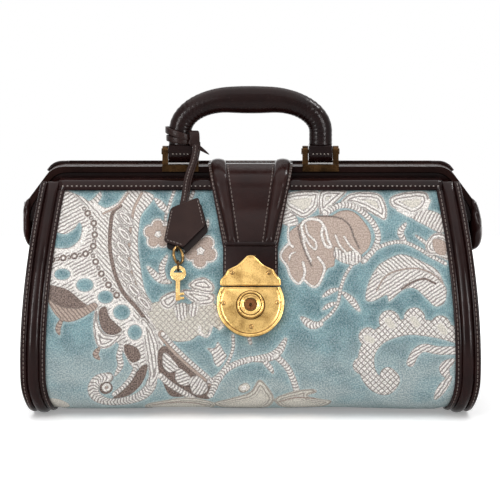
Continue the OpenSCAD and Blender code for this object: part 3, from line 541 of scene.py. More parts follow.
    ("cream", -40, 0, [(101, 118), (113, 126), (123, 128), (139, 122), (150, 115), (154, 106), (147, 112),
        (134, 117), (120, 116), (108, 111)]),
    ("taupe", None, 0.6, [(101, 100), (108, 111), (120, 116), (134, 117), (147, 112), (154, 105)]),
    ("dark", None, 0.8, [(121, 101), (129, 106), (139, 109), (148, 105)]),
    # latticed scroll with its lobes, and the curled ends below it
    ("cream", "hatch", 6.6, [(166, 64), (152, 68), (140, 70), (128, 71), (116, 69), (104, 64), (96, 56),
        (92.5, 46), (94, 34), (100, 25), (108, 22), (113, 28), (110, 32)]),
    ("cream", "hatch", 8.0, [(152, 72), (152.4, 71.6)]),
    ("cream", "hatch", 8.4, [(131, 78), (131.4, 77.6)]),
    ("cream", "hatch", 8.4, [(111, 76), (111.4, 75.6)]),
    ("cream", "hatch", 7.6, [(94, 63), (94.4, 62.6)]),
    ("cream", "hatch", 6.8, [(88.5, 40), (88.8, 39.6)]),
    ("beige", None, 2.6, [(130, 77), (133, 73)]),
    ("beige", None, 2.6, [(110, 76), (113, 72)]),
    ("beige", None, 2.4, [(93, 62), (97, 60)]),
    ("beige", None, 2.6, [(152, 71), (155, 67)]),
    ("cream", 30, 3.4, [(166, 52), (150, 52), (139, 54), (132, 50), (128, 42)]),
    ("cream", 50, 4.2, [(162, 44), (155, 38), (158, 30)]),
    ("cream", 55, 3.8, [(160, 30), (153, 21), (148, 13)]),
    # middle of the back, which the tab and the lock cover on the front
    ("cream", "cross", 1.6, [(0, 134), (3, 118), (-2, 104), (2, 88), (-3, 72), (0, 58)]),
    ("cream", "cross", 3.2, [(2, 116), (10, 120), (17, 129)]),
    ("cream", "cross", 3.2, [(-1, 108), (-9, 112), (-17, 120)]),
    ("cream", "cross", 3.0, [(1, 92), (9, 95), (15, 102)]),
    ("cream", "cross", 2.8, [(-2, 78), (-9, 80), (-14, 86)]),
]
# five-petalled flowers: centre, radius and turn
smallFlowers = [(-74, 144, 10.5, 20), (-40, 131, 12.5, 50), (0, 152, 14, 18)]
# velvet eyes in a cream ring: centre and half sizes
velvetEyes = [
    (-150.5, 112.5, 6.4, 4.4), (-132.5, 104, 6.8, 5.2), (-116, 94.5, 6.2, 5.0), (-103, 82.5, 6.8, 6.0),
    (-92.5, 66.5, 5.6, 6.0),
]
# chains of round beads, large and small in turn, and the hooked lobes beside the stem line
beadChains = [
    [(-133, 164), (-126, 154), (-124.6, 144), (-127.5, 131), (-140, 127), (-152, 125), (-168, 123)],
    [(-126, 127), (-121, 116), (-115, 106), (-107, 96)],
]
hooks = [(-102, 159), (-103.5, 147), (-104.5, 136), (-104, 124.5), (-101, 113), (-95, 102.5), (-87.5, 93)]
brocade = dict(
    columns=380, rows=246, flatRows=14, pile=0.55, ribPitch=2.6, latticePitch=3.3, wave=0.5,
    ringDepth=6.4, beadPitch=4.3, seenFrom=8, seenDistance=2000, seenDepth=-40, foldHeight=20,
    foldScale=0.8, bindingEdge=11.5, trimEdge=7, seamRun=9, seamSink=0.5, ground=-0.1, lockGap=1,
    lockRun=8, tabHalf=36, tabMost=0.8,
)


def fieldDistance(place, outline):
    # distance to a closed line, positive inside it: nearest edge, with the side from counted crossings
    a, b = outline[None], np.roll(outline, -1, 0)[None]
    edge = b - a
    toPoint = place[:, None] - a
    share = np.clip((toPoint * edge).sum(-1) / np.maximum((edge ** 2).sum(-1), 1e-9), 0, 1)
    gap = np.linalg.norm(toPoint - share[..., None] * edge, axis=-1).min(1)
    above = (a[..., 1] > place[:, 1:]) != (b[..., 1] > place[:, 1:])
    rise = np.where(np.abs(edge[..., 1]) < 1e-9, 1e-9, edge[..., 1])
    crossing = above & (place[:, :1] < a[..., 0] + (place[:, 1:] - a[..., 1]) / rise * edge[..., 0])
    return np.where(crossing.sum(1) % 2 == 1, gap, -gap)


def bandDistance(place, line, half):
    # distance inside a band along a line, its length along the line and its signed place across;
    # a short band is leaf-shaped, with its width as the root of a sine
    length = arcLength(line)
    a, edge = line[None, :-1], np.diff(line, axis=0)[None]
    toPoint = place[:, None] - a
    share = np.clip((toPoint * edge).sum(-1) / np.maximum((edge ** 2).sum(-1), 1e-9), 0, 1)
    gap = np.linalg.norm(toPoint - share[..., None] * edge, axis=-1)
    best = gap.argmin(1)
    pick = np.arange(len(place))
    along = length[best] + share[pick, best] * np.diff(length)[best]
    side = edge[0, best, 0] * toPoint[pick, best, 1] - edge[0, best, 1] * toPoint[pick, best, 0]
    across = np.sign(side) * gap[pick, best]
    width = half
    if 3 * half < length[-1] < 12 * half:
        width = half * np.sqrt(np.sin(math.pi * (0.06 + 0.88 * along / length[-1])))
    return width - gap[pick, best], along, across


def paintOrnament(place):
    # lays the ornament's fields over each other: signed distances for each tone, and the ribs' phase
    tones = ("taupe", "dark", "beige")
    cloth = {key: np.full(len(place), -9.0) for key in ("motif",) + tones}
    cloth.update({key: np.zeros(len(place)) for key in ("ribPhase", "ribAmount", "latticeAmount")})

    def lay(near, distance, tone, phase=None, lattice=False):
        if tone == "velvet":
            cloth["motif"][near] = np.minimum(cloth["motif"][near], -distance)
            return
        cloth["motif"][near] = np.maximum(cloth["motif"][near], distance)
        for key in tones:
            if key == tone:
                cloth[key][near] = np.maximum(cloth[key][near], distance)
            else:
                cloth[key][near] = np.minimum(cloth[key][near], -distance)
        inside = near[distance > -0.4]
        cloth["ribAmount"][inside] = phase is not None
        cloth["latticeAmount"][inside] = lattice
        if phase is not None:
            cloth["ribPhase"][inside] = phase[distance > -0.4]

    def around(points, margin):
        low, high = np.min(points, 0) - margin, np.max(points, 0) + margin
        return np.flatnonzero(((place > low) & (place < high)).all(1))

    for tone, ribs, half, points in ornament:
        line = smoothLine(points, closed=half == 0, steps=6)
        near = around(line, half + 4)
        along = across = None
        if half:
            distance, along, across = bandDistance(place[near], line, half)
        else:
            distance = fieldDistance(place[near], line)
        phase = None
        if ribs == "cross":
            phase = (along + 0.45 * np.abs(across)) / brocade["ribPitch"]
        elif ribs == "round":
            phase = distance / brocade["ribPitch"] + 0.25
        elif ribs not in (None, "hatch"):
            turn = math.radians(ribs)
            phase = (place[near, 1] * math.cos(turn) - place[near, 0] * math.sin(turn)) / brocade["ribPitch"]
        lay(near, distance, tone, phase, ribs == "hatch")
        if ribs == "round":
            deep = distance - brocade["ringDepth"]
            cloth["beige"][near] = np.maximum(cloth["beige"][near], deep)
            cloth["ribAmount"][near[deep > 0]] = 0

    ellipse = circle(np.linspace(0, 2 * math.pi, 25)[:-1])
    for x, up, halfW, halfH in velvetEyes:
        for tone, grow in (("cream", 2.4), ("velvet", 0)):
            outline = ellipse * [halfW + grow, halfH + grow] + [x, up]
            near = around(outline, 4)
            lay(near, fieldDistance(place[near], outline), tone)
    for x, up, radius, turn in smallFlowers:
        for tone, grow, reach in (("cream", 1.6, 0.62), ("taupe", 0, 0.62)):
            for k in range(5):
                a = math.radians(turn + 72 * k)
                centre = np.array([x + reach * radius * math.cos(a), up + reach * radius * math.sin(a)])
                outline = ellipse * (0.4 * radius + grow) + centre
                near = around(outline, 4)
                lay(near, fieldDistance(place[near], outline), tone)
        near = around(np.array([[x, up]]), radius)
        lay(near, 0.2 * radius - np.linalg.norm(place[near] - [x, up], axis=1), "cream")
    for chain in beadChains:
        line = smoothLine(chain)
        for k, centre in enumerate(resample(line, int(arcLength(line)[-1] / brocade["beadPitch"]))):
            size = 1.0 if k % 2 else 0.66
            near = around(centre[None], 6)
            reach = np.linalg.norm(place[near] - centre, axis=1)
            for tone, radius in (("cream", 3.3), ("dark", 2.7), ("cream", 1.35)):
                lay(near, size * radius - reach, tone)
    for x, up in hooks:
        line = np.array([[x + 7, up - 8], [x + 3, up - 3.5], [x - 1.2, up + 0.8], [x - 0.6, up + 2.6]])
        near = around(line, 8)
        for tone, half in (("dark", 4.3), ("cream", 3.7)):
            distance = bandDistance(place[near], line, half)[0]
            lay(near, distance, tone, distance / 1.9 + 0.25)
    return cloth


def brocadeVelvet():
    # cut velvet brocade: a matt teal pile, painted lighter low down as a sheen where the cloth curves under,
    # round flat silky figures of cream and taupe weft, which are ribbed and latticed, with painted shade in
    # the ribs' troughs, and catch the light
    material, tree, shader = newMaterial("cut_velvet_brocade")
    add = functools.partial(node, tree)
    across, up, motif, inTaupe, inDark, inBeige, ribPhase, ribs, latticed = (
        add("Attribute", out="Fac", attribute_name=key) for key in (
            "across", "up", "motif", "taupe", "dark", "beige", "ribPhase", "ribAmount", "latticeAmount"))
    onCloth = add("CombineXYZ", across, up)
    slanted, brushing = (
        add("Mapping", named={"Vector": onCloth, "Scale": scale, "Rotation": (0, 0, turn)})
        for scale, turn in (((1.4, 0.45, 1), 0.5), ((1, 2.2, 1), -0.6)))
    # noises, each by its size in millimetres and its detail
    fibre, grain, stray, mottle, nap, brushed = (
        add("TexNoise", named={"Vector": place, "Scale": 1 / size, "Detail": detail})
        for place, size, detail in (
            (onCloth, 1.1, 3), (onCloth, 1.15, 1), (onCloth, 5, 2), (onCloth, 16, 4),
            (slanted, 1, 2), (brushing, 42, 2)))
    # soft steps: from and to which value, and what they give at its two ends
    # lean is 1 low on the front and 0 high up: the share of the painted sheen where the cloth curves under
    grain, figure, onBeige, onTaupe, onDark, speck, mottled, napped, lean, swept, rim, sunk = (
        add("MapRange", *values, interpolation_type="SMOOTHSTEP") for values in (
            (grain, 0.34, 0.66), (motif, -0.25, 0.3), (inBeige, -0.3, 0.3), (inTaupe, -0.25, 0.25),
            (inDark, -0.25, 0.25), (fibre, 0.38, 0.56), (mottle, 0.36, 0.66), (nap, 0.3, 0.75, 0, 0.5),
            (up, 20, 78, 1, 0), (brushed, 0.34, 0.62, 0.25, 0.85), (motif, -2.8, -0.5, 0, 0.55),
            (fibre, 0.6, 0.4, 0, 0.5)))

    # ribs, a little uneven, and the lattice of slanting lines
    stray = add("Math", stray, 0.5, operation="SUBTRACT")
    phase = add("Math", stray, 0.8, ribPhase, operation="MULTIPLY_ADD")
    turn = add("Math", phase, 2 * math.pi, operation="MULTIPLY")
    wave = add("Math", turn, operation="SINE")
    ribWave = add("Math", wave, 0.5, 0.5, operation="MULTIPLY_ADD")
    frayed = add("Math", fibre, 0.5, operation="SUBTRACT")
    frayed = add("Math", frayed, 0.7, ribWave, operation="MULTIPLY_ADD")
    # the troughs between the ribs are painted darker, as shade
    ribTroughShade = add("MapRange", frayed, 0.05, 0.62, 1, 0, interpolation_type="SMOOTHSTEP")
    ribTroughShade = add("Math", ribs, ribTroughShade, operation="MULTIPLY")
    slant = add("Math", stray, 3.0, across, operation="MULTIPLY_ADD")
    halfPitch = brocade["latticePitch"] / math.sqrt(2)
    lines = [add("Math", slant, up, operation=way) for way in ("ADD", "SUBTRACT")]
    lines = [add("Math", line, halfPitch, operation="PINGPONG") for line in lines]
    lattice = add("Math", *lines, operation="MINIMUM")
    lattice = add("MapRange", lattice, 0.25, 0.8, 1, 0, interpolation_type="SMOOTHSTEP")
    lattice = add("Math", latticed, lattice, operation="MULTIPLY")

    # weft tones, laid over each other, with painted shade in the ribs' troughs and a dotted dark edge
    ribLight = add("Math", ribTroughShade, -0.85, 1.0, operation="MULTIPLY_ADD")
    speckled = add("Math", grain, 0.55, 0.48, operation="MULTIPLY_ADD")
    weft = add("Math", ribLight, speckled, operation="MULTIPLY")
    woven, beige, taupe, dark = (
        add("Mix", share, named={6: low, 7: high}, out=2, data_type="RGBA") for share, low, high in (
            (weft, "#736862", "#f9f4ef"), (weft, "#877e74", "#dfd9ce"), (weft, "#6f5d54", "#bda99c"),
            (grain, "#463630", "#8a766c")))
    quiet = add("Math", onBeige, -0.35, 0.8, operation="MULTIPLY_ADD")
    quiet = add("Math", lattice, quiet, operation="MULTIPLY")
    seams = [add("Math", tone, operation="ABSOLUTE") for tone in (inTaupe, inDark)]
    seams = add("Math", *seams, operation="MINIMUM")
    seams = add("Math", seams, 0.3, operation="ADD")
    dotted = add("Math", motif, seams, operation="MINIMUM")
    dotted = add("MapRange", dotted, 0.2, 1.0, 0.8, 0, interpolation_type="SMOOTHSTEP")
    dotted = add("Math", dotted, speck, operation="MULTIPLY")
    for share, tone in ((onBeige, beige), (onTaupe, taupe), (onDark, dark), (quiet, "#6a5d55"),
                        (dotted, "#574840")):
        woven = add("Mix", share, named={6: woven, 7: tone}, out=2, data_type="RGBA")

    # pile: mottled, painted lighter low down in brushed patches as a sheen where the cloth curves under,
    # with a painted highlight as a pale rim round each figure, pale tips strengthened low down by the same
    # painted sheen, and painted shade in the gaps between tufts
    # lean times the brushed patches: painted sheen, lighter where the cloth curves under
    swept = add("Math", lean, swept, operation="MULTIPLY")
    # pale tips scattered at random, made stronger low down by painted sheen
    tipsAndSheen = add("Math", lean, 0.2, 0.3, operation="MULTIPLY_ADD")
    tipsAndSheen = add("Math", grain, tipsAndSheen, operation="MULTIPLY")
    # rim, the pale band of pile round each figure, is a painted highlight
    colour = "#2c5f6a"
    # sunk darkens the pile where its tufts are lowest: painted shade in the gaps between them
    for share, tone in ((mottled, "#6d97a0"), (napped, "#a2bcbf"), (swept, "#b1b9b8"), (rim, "#bccfd1"),
                        (tipsAndSheen, "#c6d0d0"), (sunk, "#446469"), (figure, woven)):
        colour = add("Mix", share, named={6: colour, 7: tone}, out=2, data_type="RGBA")

    weave = add("Math", grain, 0.4, operation="MULTIPLY")
    ribHeight = add("Math", ribWave, 0.9, operation="MULTIPLY")
    wovenHeight = add("Math", ribs, ribHeight, weave, operation="MULTIPLY_ADD")
    wovenHeight = add("Math", wovenHeight, lattice, operation="SUBTRACT")
    tuft = add("Math", fibre, 0.5, operation="MULTIPLY")
    pileHeight = add("Math", nap, 0.9, tuft, operation="MULTIPLY_ADD")
    height = add("Mix", figure, named={2: pileHeight, 3: wovenHeight})
    fill(tree, shader, {
        "Base Color": colour, "Specular IOR Level": 0.3,
        "Roughness": add("MapRange", figure, 0, 1, 0.95, 0.6),
        "Sheen Weight": 0.3, "Sheen Roughness": 0.45, "Sheen Tint": "#d8e6e6",
        "Normal": add("Bump", named={"Height": height, "Strength": 0.6, "Distance": 0.5 * mm})})
    return material


velvetBrocade = brocadeVelvet()


def bendWithMouth(piece):
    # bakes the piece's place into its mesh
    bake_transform(piece)


def clothSheet():
    # front cloth from the bottom's middle to the mouth: lengths along it by shares across it,
    # raised by the pile round the woven figures and by soft waves, and drawn in at its seams
    top = panelArc[-1]
    arc = np.concatenate([
        np.linspace(0, flatArc, brocade["flatRows"], endpoint=False),
        np.linspace(flatArc, top, brocade["rows"])])
    share = np.linspace(-1, 1, brocade["columns"])
    arcGrid, shareGrid = np.meshgrid(arc, share, indexing="ij")
    base, _ = panelAt(arcGrid)
    x = shareGrid * (halfWidth(base[..., 1]) - bag["seamInset"] - 0.3)
    tilt = math.radians(brocade["seenFrom"])
    depth = base[..., 0] - brocade["seenDepth"]
    far = 1 + (depth * math.cos(tilt) - base[..., 1] * math.sin(tilt)) / brocade["seenDistance"]
    up = (depth * math.sin(tilt) + base[..., 1] * math.cos(tilt)) / far
    foldArc = arcAt(brocade["foldHeight"])
    foldUp = np.interp(foldArc, arc, up[:, 0])
    up = np.where(arcGrid < foldArc, foldUp - brocade["foldScale"] * (foldArc - arcGrid), up)
    place = np.stack([x / far, up], -1).reshape(-1, 2)
    cloth = paintOrnament(place)

    motif = cloth["motif"].reshape(arcGrid.shape)
    pile = brocade["pile"] * (1 - np.clip((motif + 0.9) / 1.3, 0, 1) ** 2)
    waves = np.sin(x / 31 + up / 47) * np.sin(up / 29 - x / 83) + 0.4 * np.sin(x / 17 - up / 13)
    endGap = (1 - np.abs(shareGrid)) * halfWidth(base[..., 1]) - brocade["bindingEdge"]
    topGap = top - brocade["trimEdge"] - arcGrid
    seam = np.clip(endGap / brocade["seamRun"], 0, 1) * np.clip(topGap / brocade["seamRun"], 0, 1)
    # flat round the lock, and low enough for the tab to lie on
    lockGap = np.hypot(x, arcGrid - arcAt(bag["lockHeight"])) - bag["lockRadius"]
    clear = np.clip((lockGap - brocade["lockGap"]) / brocade["lockRun"], 0, 1)
    out = (pile + brocade["wave"] * waves) * np.minimum(seam, clear)
    out = out - brocade["seamSink"] * (1 - seam) + brocade["ground"]
    out = np.where(np.abs(x) < brocade["tabHalf"], np.minimum(out, brocade["tabMost"]), out)
    facts = {"across": place[:, 0], "up": place[:, 1], **cloth}
    return onPanel(x, arcGrid, out), facts


def buildCloth():
    points, facts = clothSheet()
    rows, cols = points.shape[:2]
    for name, grid, body in (
            ("brocadeFront", points, "mouth"), ("brocadeBack", toBack(points)[:, ::-1], "bag")):
        piece = makePiece(name, [(grid, [gridFaces(rows, cols)], 0)], [velvetBrocade], facts)
        finishPiece(piece, body, "brocade", "brocade_body")


buildCloth()
print("brocade made")


def softCopy(name, nodeName, body, slot, width, materials, segments=2, angle=32, fuller=0):
    # merged copy of a CAD piece whose edges are rounded; a fuller one is grown outwards a little
    mesh = nodes[nodeName].data.copy()
    editMesh(mesh, merge=0.002, flatten=1)
    mesh.polygons.foreach_set("use_smooth", np.ones(len(mesh.polygons), bool))
    mesh.set_sharp_from_angle(angle=math.radians(angle))
    mesh.materials.clear()
    for material in materials:
        mesh.materials.append(material)
    piece = bpy.data.objects.new(name, mesh)
    bpy.context.scene.collection.objects.link(piece)
    if fuller:
        grow = piece.modifiers.new("fuller", "DISPLACE")
        grow.strength = fuller * mm
        grow.mid_level = 0
    if width:
        bevel = piece.modifiers.new("edge", "BEVEL")
        bevel.width = width * mm
        bevel.segments = segments
        bevel.limit_method = "ANGLE"
        bevel.angle_limit = math.radians(angle)
        bevel.harden_normals = True
    return finishPiece(piece, body, slot, nodeName)


def sewLines(name, body, rows, surface, sewing=None):
    # thread humps on a surface: each row is a line and its outward ways
    piece = makePiece(name, [stitchRow(*row) for row in rows], [surface, sewing or thread])
    finishPiece(piece, body, "leather")


# Bindings round the two ends, in millimetres in from the outer edge and up from the cloth
binding = dict(edgeStitch=(-2.6, 2.78), flangeStitch=(-17.5, 1.85), top=182.9, rows=200, ripple=0.12,
               rollMiddle=-10, rollHalf=4.6, groove=0.5, rollHeight=4, level=1.9, sinkRun=9)


def bindingSection():
    # rounded outer edge, groove, padded roll as part of a round, then the thin flange
    turn = np.linspace(0, math.pi, 15)
    rise = binding["rollHeight"] - binding["groove"]
    roll = np.stack([
        binding["rollMiddle"] + binding["rollHalf"] * np.cos(turn),
        binding["groove"] + rise * np.sin(turn) ** 0.8], -1)
    edge = [
        (-4.8, -2.2), (-1.2, -2.2), (-0.35, -1.85), (0, -1.0), (0, 1.5), (-0.35, 2.4), (-1.2, 2.8),
        (-3.9, 2.75), (-4.6, 2.3), (-5.2, 1.0)]
    flange = [
        (-14.9, 1.4), (-15.6, 1.8), (-19.0, 1.8), (-19.8, 1.4), (-20, 0.8), (-19.9, 0.25), (-10, 0.25),
        (-4.8, 0.25)]
    return np.concatenate([edge, roll, flange])


def bindingLine(side, u, v, rows=400):
    arc = np.linspace(1, arcAt(binding["top"]) - 1, rows)
    (base, normal) = panelAt(arc)
    line = onPanel(side * (halfWidth(base[:, 1]) + u), arc, v)
    return line, np.stack([np.zeros(rows), normal[:, 0], normal[:, 1]], -1)


def buildBindings():
    section = bindingSection()
    arc = np.linspace(0, arcAt(binding["top"]), binding["rows"])
    base, _ = panelAt(arc)
    width = halfWidth(base[:, 1])
    onRoll = np.clip((section[:, 0] + 15) / 10, 0, 1)
    swell = (np.clip((section[:, 1] - binding["level"]) / 2, 0, 1) * np.sin(onRoll * math.pi))[None]
    sink = np.sqrt(np.clip((arc[-1] - arc) / binding["sinkRun"], 0, 1))
    uneven = np.sin(arc / 7.3) * np.sin(arc / 17.1 + 1) + 0.5 * np.sin(arc / 3.1 + 0.6 * np.sin(arc / 11))
    for side, sideName in ((-1, "left"), (1, "right")):
        x = side * (width[:, None] + section[None, :, 0])
        out = section[None, :, 1] + binding["ripple"] * swell * uneven[:, None]
        sunk = binding["level"] + (out - binding["level"]) * sink[:, None]
        out = np.where(out > binding["level"], sunk, out)
        front = onPanel(x, arc[:, None], out)
        rows = [bindingLine(side, *binding["edgeStitch"]), bindingLine(side, *binding["flangeStitch"])]
        for half, body, turned in (("Front", "mouth", np.array), ("Back", "bag", toBack)):
            name = sideName + "Binding" + half
            piece = makePiece(name, [tube(turned(front))], [glazedCalf], outward=True)
            finishPiece(piece, body, "leather", sideName + "_binding")
            sewn = [(turned(line), turned(up)) for line, up in rows]
            sewLines(name + "Stitches", body, sewn, glazedCalf)


# End panels, which fold inwards between the two halves of the mouth; the notch clears the frame's hinge
gusset = dict(
    inset=9.6, bottom=6.6, top=174.5, notchFrom=156.3, notchFront=-17, notchBack=13, edge=2.6, fold=8,
    thick=1.6, liningThick=0.6, liningGap=2.4, liningEdge=1.5, foldFrom=30, foldRun=110, foldHalf=17,
    flat=(158, 172),
)


def endPanel(side, inset, edge):
    z = np.concatenate([
        np.linspace(gusset["bottom"], gusset["notchFrom"], 60),
        np.linspace(gusset["notchFrom"], gusset["top"], 9)[1:]])
    reach = -np.interp(z, panelLine[60:, 1], panelLine[60:, 0]) - edge
    part = np.linspace(0, 1, 15)[None]
    front = -reach[:, None] + (gusset["notchFront"] + reach[:, None]) * part
    back = gusset["notchBack"] + (reach[:, None] - gusset["notchBack"]) * part
    middle = np.linspace(gusset["notchFront"], gusset["notchBack"], 13)[None, 1:-1] + 0 * z[:, None]
    y = np.concatenate([front, middle, back], 1)
    zGrid = np.broadcast_to(z[:, None], y.shape)
    rise = np.clip((zGrid - gusset["foldFrom"]) / gusset["foldRun"], 0, 1)
    across = np.abs((y + 2) / gusset["foldHalf"])
    crease = gusset["fold"] * np.exp(-across ** 1.4) * rise ** 2 * (3 - 2 * rise)
    x = side * (halfWidth(zGrid) - inset - crease)
    faces = gridFaces(*y.shape, flip=side < 0)
    cols = y.shape[1]
    row, col = faces.min(1) // cols, faces.min(1) % cols
    notch = (z[row] >= gusset["notchFrom"] - 1e-6) & (col >= 14) & (col < 14 + 12)
    return np.stack([x, y, zGrid], -1), faces[~notch]


def buildEnds():
    for side, sideName in ((-1, "left"), (1, "right")):
        for kind, gap, edge, thick, material, slot, replaced in (
                ("Gusset", 0, 0, gusset["thick"], gussetCalf, "leather", sideName + "_gusset"),
                ("LiningEnd", gusset["liningGap"], gusset["liningEdge"], gusset["liningThick"],
                 liningDrill, "lining_cloth", "lining")):
            points, faces = endPanel(side, gusset["inset"] + gap, gusset["edge"] + edge)
            piece = makePiece(sideName + kind, [(points, [faces], 0)], [material])
            shell = piece.modifiers.new("thickness", "SOLIDIFY")
            shell.thickness = thick * mm
            finishPiece(piece, "mouth", slot, replaced)


lining = dict(inside=-3.1, inset=12, top=181, rows=70, columns=60, lead=9)


def buildLining():
    arc = np.linspace(0, arcAt(lining["top"]), lining["rows"])
    base, _ = panelAt(arc)
    share = np.linspace(-1, 1, lining["columns"])
    x = share[None] * (halfWidth(base[:, 1]) - lining["inset"])[:, None]
    pucker = 0.25 * np.sin(x / 21 + arc[:, None] / 37) * np.sin(arc[:, None] / 25)
    front = onPanel(x, arc[:, None], lining["inside"] + np.minimum(pucker, 0.1))
    for name, points, body in (("liningFront", front[:, ::-1], None), ("liningBack", toBack(front), "bag")):
        piece = makePiece(name, [(points, [gridFaces(*points.shape[:2])], 0)], [liningDrill])
        if not body:
            bendWithMouth(piece)
        finishPiece(piece, body, "lining_cloth", "lining")


buildBindings()
buildEnds()
buildLining()
print("bindings, ends and lining made")


# Frame and the trims that hold the cloth to it

trim = dict(
    stitchHeight=179.2, stitchPitch=3.6, stitchPart=0.42, offset=2.5, halfWidth=152, bottom=176.9, top=182.4,
    lipTop=185.55, lipLow=183.6, lipBack=-14.6,
)


def trimStrip():
    # section up the face, over a rounded edge and back along the lip, carried from end to end
    low, lowOut = panelAt(arcAt(trim["bottom"]))
    high, highOut = panelAt(arcAt(trim["top"]))
    section = np.array([
        low + 0.3 * lowOut, low + 1.6 * lowOut, low + 2.2 * lowOut + [0, 0.25],
        0.5 * (low + high) + 2.5 * highOut, high + 2.6 * highOut, high + 2.4 * highOut + [0.6, 0.75],
        high + 1.9 * highOut + [1.5, 1.3], [high[0] + 2.6, trim["lipTop"]],
        [trim["lipBack"], trim["lipTop"]], [trim["lipBack"], trim["lipLow"]],
        [high[0] + 2.2, trim["lipLow"]], high + 0.3 * highOut])
    x = np.linspace(-trim["halfWidth"], trim["halfWidth"], 60)
    points = np.empty((60, len(section), 3))
    points[..., 0] = x[:, None]
    points[..., 1:] = section[None]
    return points


def buildFrame():
    softCopy("backFrame", "back_frame", "bag", "leather", 2.3, [plateCalf], segments=4)
    softCopy("frontFrame", "front_frame", "front_frame", "leather", 1.2, [glazedCalf], segments=3)
    front = trimStrip()
    sides = (("front", "front_frame", np.array), ("back", "bag", toBack))
    for sideName, body, turned in sides:
        piece = makePiece(sideName + "Trim", [tube(turned(front))], [glazedCalf], outward=True)
        finishPiece(piece, body, "leather", sideName + "_trim")
    x = np.linspace(1 - trim["halfWidth"], trim["halfWidth"] - 1, 100)
    _, normal = panelAt(arcAt(trim["stitchHeight"]))
    line = onPanel(x, np.full(100, arcAt(trim["stitchHeight"])), trim["offset"])
    up = np.broadcast_to([0, normal[0], normal[1]], line.shape)
    for sideName, body, turned in sides:
        row = (turned(line), turned(up), trim["stitchPitch"], trim["stitchPart"])
        sewLines(sideName + "TrimStitches", body, [row], softCalf, paleThread)


# raised rib along the back of the plate, carried on round the plate's two corners
rib = dict(
    front=8, back=12, height=2,
    line=[(146, 194.3), (150, 194.3), (153.5, 194.2), (156.5, 193.5), (159, 192.2), (160.7, 190.7),
          (163, 187.8)],
)
# soft fold of each end that covers a hinge: its outer edge as places across and heights, seen from the front
hingeCover = dict(
    inner=177.1, middle=-2, half=19, leg=2.6, rows=54, columns=30, square=0.36, gussetGap=12, fall=0.17,
    left=[(177.3, 128.5), (180.0, 132.5), (181.8, 137), (182.6, 142), (182.9, 148.6), (183.0, 154),
          (182.4, 160), (180.4, 164.5), (177.3, 167.5)],
    right=[(178.5, 125.5), (183.8, 129.5), (186.2, 135), (186.6, 144.4), (185.6, 152), (183.2, 160),
           (180.6, 164.5), (177.3, 167.5)],
    ridge=((185.2, 149.5), (179.0, 137)), ridgeHeight=1.6, ridgeHalf=1.5,
    valley=((180, 158), (186, 147)), valleyDepth=1.3, valleyHalf=1.0,
    fallFrom=150, fallRun=14,
)


def nearLine(x, z, ends):
    # distance from places to a straight line between two ends
    first, way = np.array(ends[0]), np.subtract(ends[1], ends[0])
    share = np.clip(((x - first[0]) * way[0] + (z - first[1]) * way[1]) / (way @ way), 0, 1)
    return np.hypot(x - first[0] - share * way[0], z - first[1] - share * way[1])


def buildHingeCovers():
    # a D-shaped section, with a leg behind it that shuts the gap to the end panel, up the outer edge
    size = hingeCover
    turn = np.linspace(math.pi, 0, size["columns"])
    for side, sideName in ((-1, "left"), (1, "right")):
        edge = resample(smoothLine(size[sideName]), size["rows"])
        z = np.broadcast_to(edge[:, 1:], (size["rows"], size["columns"]))
        share = np.linspace(-1, 1, size["rows"])
        half = size["half"] * np.sqrt(1.03 - share ** 4)
        x = size["inner"] + (edge[:, :1] - size["inner"]) * np.sin(turn)[None] ** size["square"]
        y = size["middle"] + half[:, None] * np.cos(turn)[None]
        facing = np.clip(-np.cos(turn)[None] * 1.6, 0, 1)
        ridge = np.exp(-(nearLine(x, z, size["ridge"]) / size["ridgeHalf"]) ** 2)
        valley = np.exp(-(nearLine(x, z, size["valley"]) / size["valleyHalf"]) ** 2)
        y = y - facing * (size["ridgeHeight"] * ridge - size["valleyDepth"] * valley)
        # the top falls away behind, in line with the frame's corner
        z = z - size["fall"] * (y - size["middle"]) * np.clip((z - size["fallFrom"]) / size["fallRun"], 0, 1)
        back = size["middle"] + half
        reach = halfWidth(edge[:, 1]) - size["gussetGap"]
        leg = np.stack([
            np.stack([across, depth, edge[:, 1]], -1) for across, depth in (
                (reach, back), (reach, back - size["leg"]),
                (0 * reach + size["inner"] - 0.1, back - size["leg"]))], 1)
        points = np.concatenate([np.stack([x, y, z], -1), leg], 1) * [side, 1, 1]
        piece = makePiece(sideName + "HingeCover", [tube(points)], [softCalf], outward=True)
        finishPiece(piece, "bag", "leather")


def buildRibEnds():
    parts = []
    line = resample(smoothLine(rib["line"]), 24)
    path = np.stack([line[:, 0], np.full(24, (rib["front"] + rib["back"]) / 2), line[:, 1]], -1)
    up = np.stack([-tangents(path)[:, 2], np.zeros(24), tangents(path)[:, 0]], -1)
    side = np.broadcast_to([0, 1.0, 0], path.shape)
    box = roundedBox((rib["back"] - rib["front"]) / 2, rib["height"], 0.9, steps=3)
    points = sweep(path, side, up, box)
    for sign in (-1, 1):
        parts.append(tube(points * [sign, 1, 1]))
    ends = makePiece("plateRibEnds", parts, [glazedCalf], outward=True)
    finishPiece(ends, "bag", "leather")


buildFrame()
buildHingeCovers()
buildRibEnds()
print("frame made")


# Handle: a padded tube over the two legs, with a seam along its inner side

handle = dict(
    legX=56, y=-8, gripZ=247, half=9.5, midHalf=11.3, bendWidth=40, bendHeight=25, foot=211.2, rows=180,
    columns=40, crease=0.22, wrinkleX=47, wrinkleHalf=11, endFront=-17.1, endSeam=204.4, seamHalf=8,
    seamPitch=2.8, seamPart=0.5,
)


